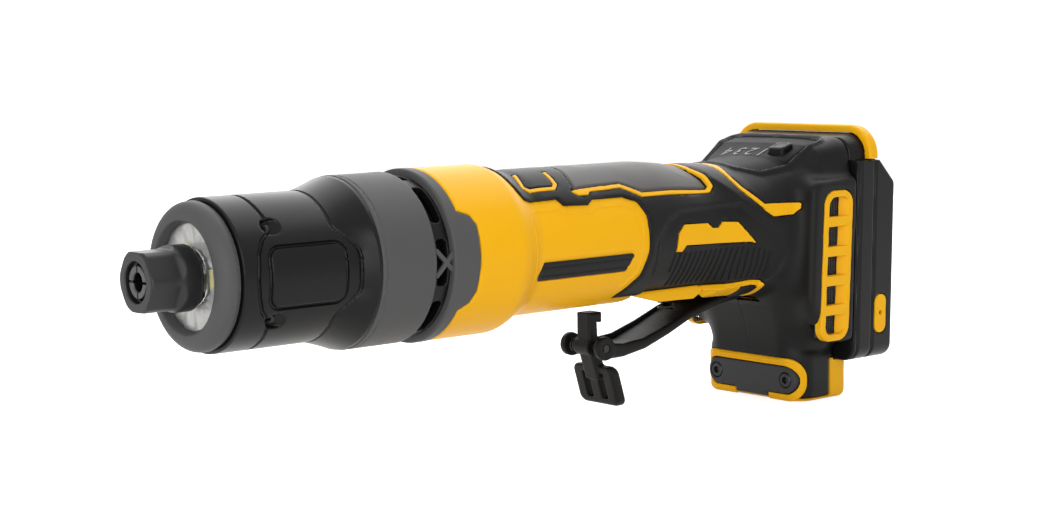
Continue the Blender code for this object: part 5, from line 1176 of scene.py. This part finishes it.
class GrinderStage(bpy.types.PropertyGroup):
    """Camera and lights."""
    camera: bpy.props.FloatVectorProperty(name="Camera", description="Place of the camera", subtype="TRANSLATION",
                                          unit="LENGTH", default=(-0.48337, -0.56562, 0.14801))
    azimuth: bpy.props.FloatProperty(name="Azimuth", description="Turn of the camera about Z", subtype="ANGLE",
                                     default=radians(-40.351))
    elevation: bpy.props.FloatProperty(name="Elevation", description="Height angle of the camera", subtype="ANGLE",
                                       default=radians(6.235))
    roll: bpy.props.FloatProperty(name="Roll", description="Turn of the picture", subtype="ANGLE",
                                  default=radians(-0.846))
    lens: bpy.props.FloatProperty(name="Lens", description="Focal length in mm on a 36 mm wide sensor",
                                  default=36.0 * 2000 / 1046, min=10, max=300)
    key: bpy.props.FloatProperty(name="Key", description="Soft light beside the camera", unit="POWER",
                                 default=6.0, min=0)
    top: bpy.props.FloatProperty(name="Top", description="Soft light above and behind", unit="POWER", default=16.0,
                                 min=0)
    fill: bpy.props.FloatProperty(name="Fill", description="Soft light before the nose", unit="POWER", default=1.0,
                                  min=0)


# Operators

class GRINDER_OT_nose(bpy.types.Operator):
    """Collet, nut, nose ring and light"""
    bl_idname = "grinder.nose"
    bl_label = "Nose"

    def execute(self, context):
        fine = context.scene.grinder_fineness.fine
        look = looks()
        mesh = contour("collet_nut_finish", nut_shape, (0, -11, -11), (19.6, 11, 11), fine)
        dress("collet_nut_finish", mesh, look["nut"], ["collet_nut"], "collet_nut")
        mesh = contour("collet_finish", collet_shape, (0.6, -6, -6), (12, 6, 6), 0.22)
        dress("collet_finish", mesh, look["collet"], ["collet"], "collet")
        mesh = contour("nose_ring_finish", ring_shape, (17.4, -25.3, -25.3), (24.4, 25.3, 25.3), fine * 1.2)
        dress("nose_ring_finish", mesh, look["grey"], ["nose_ring"])
        box = ((19.6, -19.2, -19.2), (23.2, 19.2, 19.2))
        dress("light_lens_finish", contour("light_lens_finish", lens_shape, *box, fine), look["lens"],
              ["light_lens"])
        dress("reflector", contour("reflector", reflector_shape, *box, fine), look["foil"])
        dress("lamp_chips", contour("lamp_chips", lamp_shape, *box, 0.2), look["lamp"])
        mesh = contour("light_board_finish", board_shape, (22.9, -19.2, -19.2), (24.3, 19.2, 19.2), 0.5)
        dress("light_board_finish", mesh, look["board"], ["light_board"])
        return {"FINISHED"}


class GRINDER_OT_barrel(bpy.types.Operator):
    """Nose barrel with its screws, the collar, the vent ring and the rim"""
    bl_idname = "grinder.barrel"
    bl_label = "Barrel and collar"

    def execute(self, context):
        step = context.scene.grinder_fineness.piece
        look = looks()
        mesh = contour("nose_barrel_finish", barrel_shape, (24.4, -31, -31), (76.6, 31, 31), step * 0.9)
        dress("nose_barrel_finish", mesh, look["black"], ["nose_barrel"])
        places = []
        for side, _ in SIDES:
            for angle in POCKET_ANGLES:
                place = (37.0, side * 24.0 * cos(radians(angle)), 24.0 * sin(radians(angle)))
                places.append((place, (-0.75, side * 0.66 * cos(radians(angle)), 0.66 * sin(radians(angle)))))
        set_screws("nose_screws", screw_head(1.9, 1.6, 0.95, 0.9, 0.13), places, look["screw"],
                   [f"nose_screw_{number}" for number in range(1, 5)])
        mesh = contour("collar_finish", collar_shape, (76.4, -30.6, -30.6), (99.4, 30.6, 30.6), step)
        dress("collar_finish", mesh, look["grey"], ["collar"])
        mesh = contour("vent_ring_finish", vent_shape, (99.2, -29, -29), (106.5, 29, 29), step)
        dress("vent_ring_finish", mesh, look["black"], ["vent_ring"])
        mesh = contour("rim_ring_finish", rim_shape, (99.3, -31.4, -31.4), (119, 31.4, 31.4), step)
        dress("rim_ring_finish", mesh, look["grey"], ["rim_ring"])
        return {"FINISHED"}


class GRINDER_OT_shells(bpy.types.Operator):
    """Both halves of the yellow housing and of the black soft cover"""
    bl_idname = "grinder.shells"
    bl_label = "Shells"

    def execute(self, context):
        step = context.scene.grinder_fineness.shell
        look = looks()
        for side, name in SIDES:
            across = sorted((side * 0.05, side * 39.0))
            box = ((111.0, across[0], -73.6), (317.0, across[1], 38.0))
            shape = lambda s, y, h, side=side: housing_shape(s, y, h, side)
            mesh = contour(f"{name}_housing_finish", shape, *box, step)
            dress(f"{name}_housing_finish", mesh, look["yellow"], [f"{name}_housing"])
            box = ((129.0, across[0], -73.6), (310.0, across[1], 38.0))
            shape = lambda s, y, h, side=side: cover_shape(s, y, h, side)
            mesh = contour(f"{name}_cover_finish", shape, *box, step)
            dress(f"{name}_cover_finish", mesh, look["cover"], [f"{name}_overmould"])
        return {"FINISHED"}


class GRINDER_OT_trim(bpy.types.Operator):
    """Pad, yellow lines, stripes and plates on the grip, with the ribs"""
    bl_idname = "grinder.trim"
    bl_label = "Pad and trim"

    def execute(self, context):
        fine = context.scene.grinder_fineness
        look = looks()
        mesh = contour("grip_pad_finish", pad_shape, (170, -24, 12), (244, 24, 29.5), fine.piece)
        dress("grip_pad_finish", mesh, look["pad"], ["grip_pad"])
        boxes = {"line": (("pad_line", 0.12), (168, -24, 10), (245, 24, 30)),
                 "badge": (("badge_line", 0.12), (146, -24, 14), (170, 24, 31))}
        for key, ((name, rise), low, high) in boxes.items():
            mesh = contour(name, inlay_shape(key, rise), low, high, fine.piece * 0.8)
            dress(name, mesh, look["yellow"])
        for side, name in SIDES:
            far = sorted((side * 1.0, side * 36.0))
            for key, low, high in (("stripe", (244, 3), (283, 27.5)), ("plate", (217, -8), (263, 7)),
                                   ("hook", (241, -30), (272, -20))):
                piece = f"{name}_{key}"
                box = ((low[0], far[0], low[1]), (high[0], far[1], high[1]))
                mesh = contour(piece, inlay_shape(key, 0.15), *box, fine.piece * 0.8)
                dress(piece, mesh, look["yellow"])
        mesh = contour("bare_label", label_shape, (146, -30, -15), (201, -4, 0), fine.piece)
        dress("bare_label", mesh, look["label"])
        self.ribs(look["cover"])
        self.label_line(look["yellow"])
        return {"FINISHED"}

    def ribs(self, look):
        """Curved ribs below the bare plate, laid on the soft cover."""
        lines = []
        pitch = 2.75
        for side, _ in SIDES:
            for index in range(19):
                foot = 218.6 + pitch * index
                heights = np.linspace(-19.4, -5.4, 15)
                stations = foot + 2.8 * ((heights + 19.4) / 14.0) ** 2 - 1.6 * ((heights + 19.4) / 14.0)
                keep = outline(stations, heights, RIB_ZONE) < -0.2
                if keep.sum() > 3:
                    lines.append(self.laid(stations[keep], heights[keep], side, cover_raise))
        tree = strand_tree()
        sizes = {"Radius": 0.62 * MM, "Spacing": 0.8 * MM, "Sides": 8, "Finish": look}
        mesh = tree.bake("grip_ribs", lines_mesh("ribs", lines), sizes)
        dress("grip_ribs", mesh, look)

    def label_line(self, look):
        """Fine raised line round the bare field on each side of the housing."""
        corners = np.array(LABEL_EDGE)
        reach = np.concatenate([[0.0], np.cumsum(np.hypot(*np.diff(corners, axis=0).T))])
        even = np.linspace(0.0, reach[-1], 180)
        stations, heights = (np.interp(even, reach, corners[:, d]) for d in (0, 1))
        lines = [self.laid(stations, heights, side, lambda s, y, h: 0.0) for side, _ in SIDES]
        sizes = {"Radius": 0.3 * MM, "Spacing": 0.6 * MM, "Sides": 8, "Finish": look}
        mesh = strand_tree().bake("label_line", lines_mesh("label", lines), sizes)
        dress("label_line", mesh, look)

    def laid(self, stations, heights, side, rise):
        """Points on the side of the body, or of what rises above it, at given stations and heights."""
        inner = np.full(stations.shape, 5.0)
        outer = np.full(stations.shape, 40.0)
        for _ in range(30):
            middle = (inner + outer) / 2
            y = side * middle
            out = body(stations, y, heights) - rise(stations, y, heights) > 0
            outer = np.where(out, middle, outer)
            inner = np.where(out, inner, middle)
        return np.stack([stations, side * (inner - 0.1), heights], axis=1)


class GRINDER_OT_foot(bpy.types.Operator):
    """Louvres, dust mesh, battery frame, bumper, inserts, chip cover and its screws"""
    bl_idname = "grinder.foot"
    bl_label = "Foot"

    def execute(self, context):
        step = context.scene.grinder_fineness.piece
        look = looks()
        for side, name in SIDES:
            across = sorted((side * 34.6, side * 38.8))
            shape = lambda s, y, h, side=side: louvre_shape(s, y, h, side)
            box = ((285.6, across[0], -47.4), (307.4, across[1], 14.2))
            mesh = contour(f"{name}_louvre_finish", shape, *box, step * 0.8)
            dress(f"{name}_louvre_finish", mesh, look["yellow"], [f"{name}_louvre"])
            self.dust_mesh(name, side, look["mesh"])
        mesh = contour("battery_frame_finish", frame_shape, (306.4, -38.4, -57.4), (333.2, 38.4, 36.4), step * 1.2)
        dress("battery_frame_finish", mesh, look["black"], ["battery_frame"])
        mesh = contour("bumper_finish", bumper_shape, (315.6, -38.4, 25), (323.8, 38.4, 39.5), step)
        dress("bumper_finish", mesh, look["yellow"], ["bumper"])
        mesh = contour("frame_inserts", tab_shape, (318.6, -38.6, -47), (328.8, 38.6, -30), step * 0.8)
        dress("frame_inserts", mesh, look["yellow"])
        mesh = contour("chip_surround", surround_shape, (285.6, -28.2, -73.6), (297.0, 28.2, -54.8), step)
        dress("chip_surround", mesh, look["yellow"])
        mesh = contour("chip_cover_finish", chip_shape, (286.0, -25, -71.6), (289.4, 25, -56.8), step * 0.8)
        dress("chip_cover_finish", mesh, look["chip"], ["chip_cover"])
        places = [((BLOCK_FRONT - 0.9, across, height), (-1, 0, 0)) for across, height in CHIP_SCREWS]
        set_screws("cover_screws", screw_head(3.0, 1.6, 1.45, 1.2, 0.05), places, look["screw"],
                   ["left_cover_screw", "right_cover_screw"])
        places = [((station, top, height), (0, 1, 0)) for station, height, top in CASE_SCREWS]
        set_screws("case_screws", screw_head(2.6, 2.4, 1.25, 1.2, 0.13), places, look["screw"],
                   ["grip_case_screw", "head_case_screw"])
        return {"FINISHED"}

    def dust_mesh(self, name, side, look):
        """Woven dust mesh behind a louvre."""
        lines = []
        pitch = 1.05
        for first, last, low, high, ways in ((288.0, 305.0, -45.0, 12.0, "up"), (288.0, 305.0, -45.0, 12.0, "on")):
            count = int(((last - first) if ways == "up" else (high - low)) / pitch)
            for index in range(count + 1):
                shift = pitch * index
                ends = ((first + shift, low), (first + shift, high)) if ways == "up" else \
                    ((first, low + shift), (last, low + shift))
                offset = 34.2 if ways == "up" else 33.9
                lines.append([(s, side * offset, h) for s, h in ends])
        sizes = {"Radius": 0.24 * MM, "Spacing": 20 * MM, "Sides": 5, "Finish": look}
        mesh = strand_tree().bake(f"{name}_dust_mesh", lines_mesh("wires", lines), sizes)
        dress(f"{name}_dust_mesh", mesh, look, [f"{name}_filter"])


class GRINDER_OT_display(bpy.types.Operator):
    """Display panel with plain numbers, and the speed button"""
    bl_idname = "grinder.display"
    bl_label = "Display"

    def execute(self, context):
        step = context.scene.grinder_fineness.piece
        look = looks()
        mesh = contour("display_panel_finish", panel_shape, (264, -25, 15), (304, 25, 36), step)
        dress("display_panel_finish", mesh, look["panel"], ["display_panel"])
        mesh = contour("speed_button_finish", button_shape, (284.5, -19, 26), (295.5, -8, 33), step * 0.5)
        dress("speed_button_finish", mesh, look["lever"], ["speed_button"], "speed_button")
        mesh = contour("button_mark", button_mark_shape, (286, -17.5, 29.6), (294, -9.5, 33.6), 0.16)
        dress("button_mark", mesh, look["print"], (), "speed_button")
        for text, across in DIGITS:
            self.digit(text, across, look["print"])
        return {"FINISHED"}

    def digit(self, text, across, look):
        """One number, read from behind the grinder, laid on the panel."""
        curve = bpy.data.curves.new("number_" + text, "FONT")
        curve.body = text
        curve.size = DIGIT_SIZE * MM
        curve.extrude = 0.05 * MM
        curve.align_x = "CENTER"
        curve.align_y = "CENTER"
        item = bpy.data.objects.new("number_" + text, curve)
        bpy.context.scene.collection.objects.link(item)
        graph = bpy.context.evaluated_depsgraph_get()
        mesh = bpy.data.meshes.new_from_object(item.evaluated_get(graph))
        bpy.data.objects.remove(item)
        points = np.zeros(len(mesh.vertices) * 3)
        mesh.vertices.foreach_get("co", points)
        points = points.reshape(-1, 3) / MM
        station = DIGIT_STATION - points[:, 1]
        width = across + points[:, 0]
        low = np.full(station.shape, 20.0)
        high = np.full(station.shape, 40.0)
        for _ in range(30):
            middle = (low + high) / 2
            out = body(station, width, middle) + PANEL_SUNK > 0
            high = np.where(out, middle, high)
            low = np.where(out, low, middle)
        laid = to_metres(np.stack([station, width, low + 0.12 + points[:, 2]], axis=1))
        mesh.vertices.foreach_set("co", laid.astype(np.float32).ravel())
        mesh.update()
        dress("number_" + text, mesh, look)


class GRINDER_OT_switch(bpy.types.Operator):
    """Paddle and lock-off lever"""
    bl_idname = "grinder.switch"
    bl_label = "Paddle and lever"

    def execute(self, context):
        step = context.scene.grinder_fineness.piece
        look = looks()
        mesh = contour("paddle_finish", paddle_shape, (190, -11.4, -47.2), (285, 11.4, -20.6), step)
        dress("paddle_finish", mesh, look["lever"], ["paddle"], "paddle")
        mesh = contour("lock_lever_finish", lever_shape, (191, -11.4, -67), (207, 11.4, -28.4), step * 0.7)
        dress("lock_lever_finish", mesh, look["lever"], ["lock_lever"], "lock_lever")
        return {"FINISHED"}


class GRINDER_OT_inside(bpy.types.Operator):
    """Finishes of the solids that stay as they are"""
    bl_idname = "grinder.inside"
    bl_label = "Inner solids"

    def execute(self, context):
        look = looks()
        finish = {"steel": "steel", "black_steel": "screw", "cast_metal": "cast", "copper_wire": "copper",
                  "brass": "brass", "soft_rubber": "pad", "black_plastic": "lever", "grey_plastic": "grey",
                  "yellow_plastic": "yellow", "clear_lens": "lens", "circuit_board": "board"}
        slots = {row["node"]: row["material_slot"] for row in frame["record"]["subparts"]}
        # Pins, springs and the switch plunger take the near-black screw steel in place of their listed finish:
        # painted shade, as they sit in the shade inside the housing.
        shaded_inside = ("lever_pin", "paddle_pin", "lever_spring", "paddle_spring", "switch_plunger")
        for name, item in frame["nodes"].items():
            if not item.hide_render:
                item.data.materials.clear()
                item.data.materials.append(look["screw" if name in shaded_inside else finish[slots[name]]])
        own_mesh(frame["nodes"]["paddle_spring"])
        return {"FINISHED"}


class GRINDER_OT_stage(bpy.types.Operator):
    """Floor, white surroundings, soft lights and the camera"""
    bl_idname = "grinder.stage"
    bl_label = "Stage"

    def execute(self, context):
        scene = context.scene
        stage = scene.grinder_stage
        scene.view_settings.view_transform = "Standard"
        self.world(scene)
        self.floor()
        self.lamp("key", (-0.70, -0.75, 0.35), 0.8, stage.key)
        self.lamp("top", (0.55, 0.45, 0.80), 1.6, stage.top)
        self.lamp("fill", (-1.0, 0.0, 0.5), 0.7, stage.fill)
        azimuth, elevation, roll = stage.azimuth, stage.elevation, stage.roll
        back = Vector((sin(azimuth) * cos(elevation), -cos(azimuth) * cos(elevation), sin(elevation)))
        right = (-back).cross(Vector((0, 0, 1))).normalized()
        up = right.cross(-back)
        turned = right * cos(roll) + up * sin(roll)
        up = -right * sin(roll) + up * cos(roll)
        data = bpy.data.cameras.new("camera")
        data.lens = stage.lens
        data.sensor_width = 36.0
        camera = bpy.data.objects.new("camera", data)
        place = Matrix((turned, up, back)).transposed().to_4x4()
        place.translation = Vector(stage.camera)
        camera.matrix_world = place
        scene.collection.objects.link(camera)
        scene.camera = camera
        return {"FINISHED"}

    def seen(self, tree):
        """Value of 1 for what the camera, gloss or glass sees, and 0 for what lights the grinder."""
        rays = tree.nodes.new("ShaderNodeLightPath")
        seen = rays.outputs["Is Camera Ray"]
        for kind in ("Is Glossy Ray", "Is Transmission Ray"):
            add = tree.nodes.new("ShaderNodeMath")
            add.operation = "ADD"
            add.use_clamp = True
            tree.links.new(seen, add.inputs[0])
            tree.links.new(rays.outputs[kind], add.inputs[1])
            seen = add.outputs[0]
        return seen

    def world(self, scene):
        """White surroundings that light the grinder softly."""
        world = bpy.data.worlds.new("studio")
        scene.world = world
        world.use_nodes = True
        tree = world.node_tree
        tree.nodes.clear()
        soft, white = (tree.nodes.new("ShaderNodeBackground") for _ in range(2))
        place = tree.nodes.new("ShaderNodeTexCoord")
        split = tree.nodes.new("ShaderNodeSeparateXYZ")
        tree.links.new(place.outputs["Generated"], split.inputs[0])
        ramp = tree.nodes.new("ShaderNodeMapRange")
        for key, value in {"From Min": -0.2, "From Max": 1.0, "To Min": 0.30, "To Max": 0.50}.items():
            ramp.inputs[key].default_value = value
        tree.links.new(split.outputs["Z"], ramp.inputs["Value"])
        tree.links.new(ramp.outputs[0], soft.inputs["Strength"])
        soft.inputs["Color"].default_value = (1, 1, 1, 1)
        white.inputs["Color"].default_value = (1, 1, 1, 1)
        mix = tree.nodes.new("ShaderNodeMixShader")
        tree.links.new(self.seen(tree), mix.inputs[0])
        tree.links.new(soft.outputs[0], mix.inputs[1])
        tree.links.new(white.outputs[0], mix.inputs[2])
        exit_node = tree.nodes.new("ShaderNodeOutputWorld")
        tree.links.new(mix.outputs[0], exit_node.inputs["Surface"])

    def floor(self):
        """Pale floor that keeps the shadow and fades into the white surroundings."""
        mesh = bpy.data.meshes.new("floor")
        reach = 6.0
        mesh.from_pydata([(-reach, -reach, 0), (reach, -reach, 0), (reach, reach, 0), (-reach, reach, 0)], [],
                         [(0, 1, 2, 3)])
        look = bpy.data.materials.new("pale floor")
        look.use_nodes = True
        tree = look.node_tree
        tree.nodes.clear()
        diffuse = tree.nodes.new("ShaderNodeBsdfDiffuse")
        diffuse.inputs["Color"].default_value = (0.8, 0.8, 0.8, 1)
        glow = tree.nodes.new("ShaderNodeEmission")
        strength = tree.nodes.new("ShaderNodeMath")
        strength.operation = "MULTIPLY"
        strength.inputs[1].default_value = 0.70
        tree.links.new(self.seen(tree), strength.inputs[0])
        tree.links.new(strength.outputs[0], glow.inputs["Strength"])
        add = tree.nodes.new("ShaderNodeAddShader")
        tree.links.new(diffuse.outputs[0], add.inputs[0])
        tree.links.new(glow.outputs[0], add.inputs[1])
        exit_node = tree.nodes.new("ShaderNodeOutputMaterial")
        tree.links.new(add.outputs[0], exit_node.inputs["Surface"])
        mesh.materials.append(look)
        floor = bpy.data.objects.new("floor", mesh)
        bpy.context.scene.collection.objects.link(floor)

    def lamp(self, name, place, size, power):
        """Square soft light that faces the grinder."""
        data = bpy.data.lights.new(name, "AREA")
        data.size = size
        data.energy = power
        item = bpy.data.objects.new(name, data)
        item.location = place
        item.rotation_euler = (Vector((0, 0, AXIS_Z)) - Vector(place)).to_track_quat("-Z", "Y").to_euler()
        bpy.context.scene.collection.objects.link(item)


class GRINDER_PT_panel(bpy.types.Panel):
    """Sizes, finishes and pieces of the grinder"""
    bl_idname = "GRINDER_PT_panel"
    bl_label = "Die grinder"
    bl_space_type = "VIEW_3D"
    bl_region_type = "UI"
    bl_category = "Grinder"

    def draw(self, context):
        for group in (context.scene.grinder_finishes, context.scene.grinder_fineness, context.scene.grinder_stage):
            for name in group.bl_rna.properties.keys():
                if name not in ("rna_type", "name"):
                    self.layout.prop(group, name)
        for operator in OPERATORS:
            self.layout.operator(operator.bl_idname)


GROUPS = {"grinder_finishes": GrinderFinishes, "grinder_fineness": GrinderFineness, "grinder_stage": GrinderStage}
OPERATORS = (GRINDER_OT_nose, GRINDER_OT_barrel, GRINDER_OT_shells, GRINDER_OT_trim, GRINDER_OT_foot,
             GRINDER_OT_display, GRINDER_OT_switch, GRINDER_OT_inside, GRINDER_OT_stage)


def register():
    """Adds the property groups, operators and panel."""
    for name, group in GROUPS.items():
        bpy.utils.register_class(group)
        setattr(bpy.types.Scene, name, bpy.props.PointerProperty(type=group))
    for item in OPERATORS + (GRINDER_PT_panel,):
        bpy.utils.register_class(item)


def unregister():
    """Removes what register added."""
    for item in (GRINDER_PT_panel,) + OPERATORS[::-1]:
        bpy.utils.unregister_class(item)
    for name, group in GROUPS.items():
        delattr(bpy.types.Scene, name)
        bpy.utils.unregister_class(group)


def main():
    """Builds every piece in order."""
    register()
    for operator in OPERATORS:
        group, name = operator.bl_idname.split(".")
        getattr(getattr(bpy.ops, group), name)()


if __name__ == "__main__":
    main()
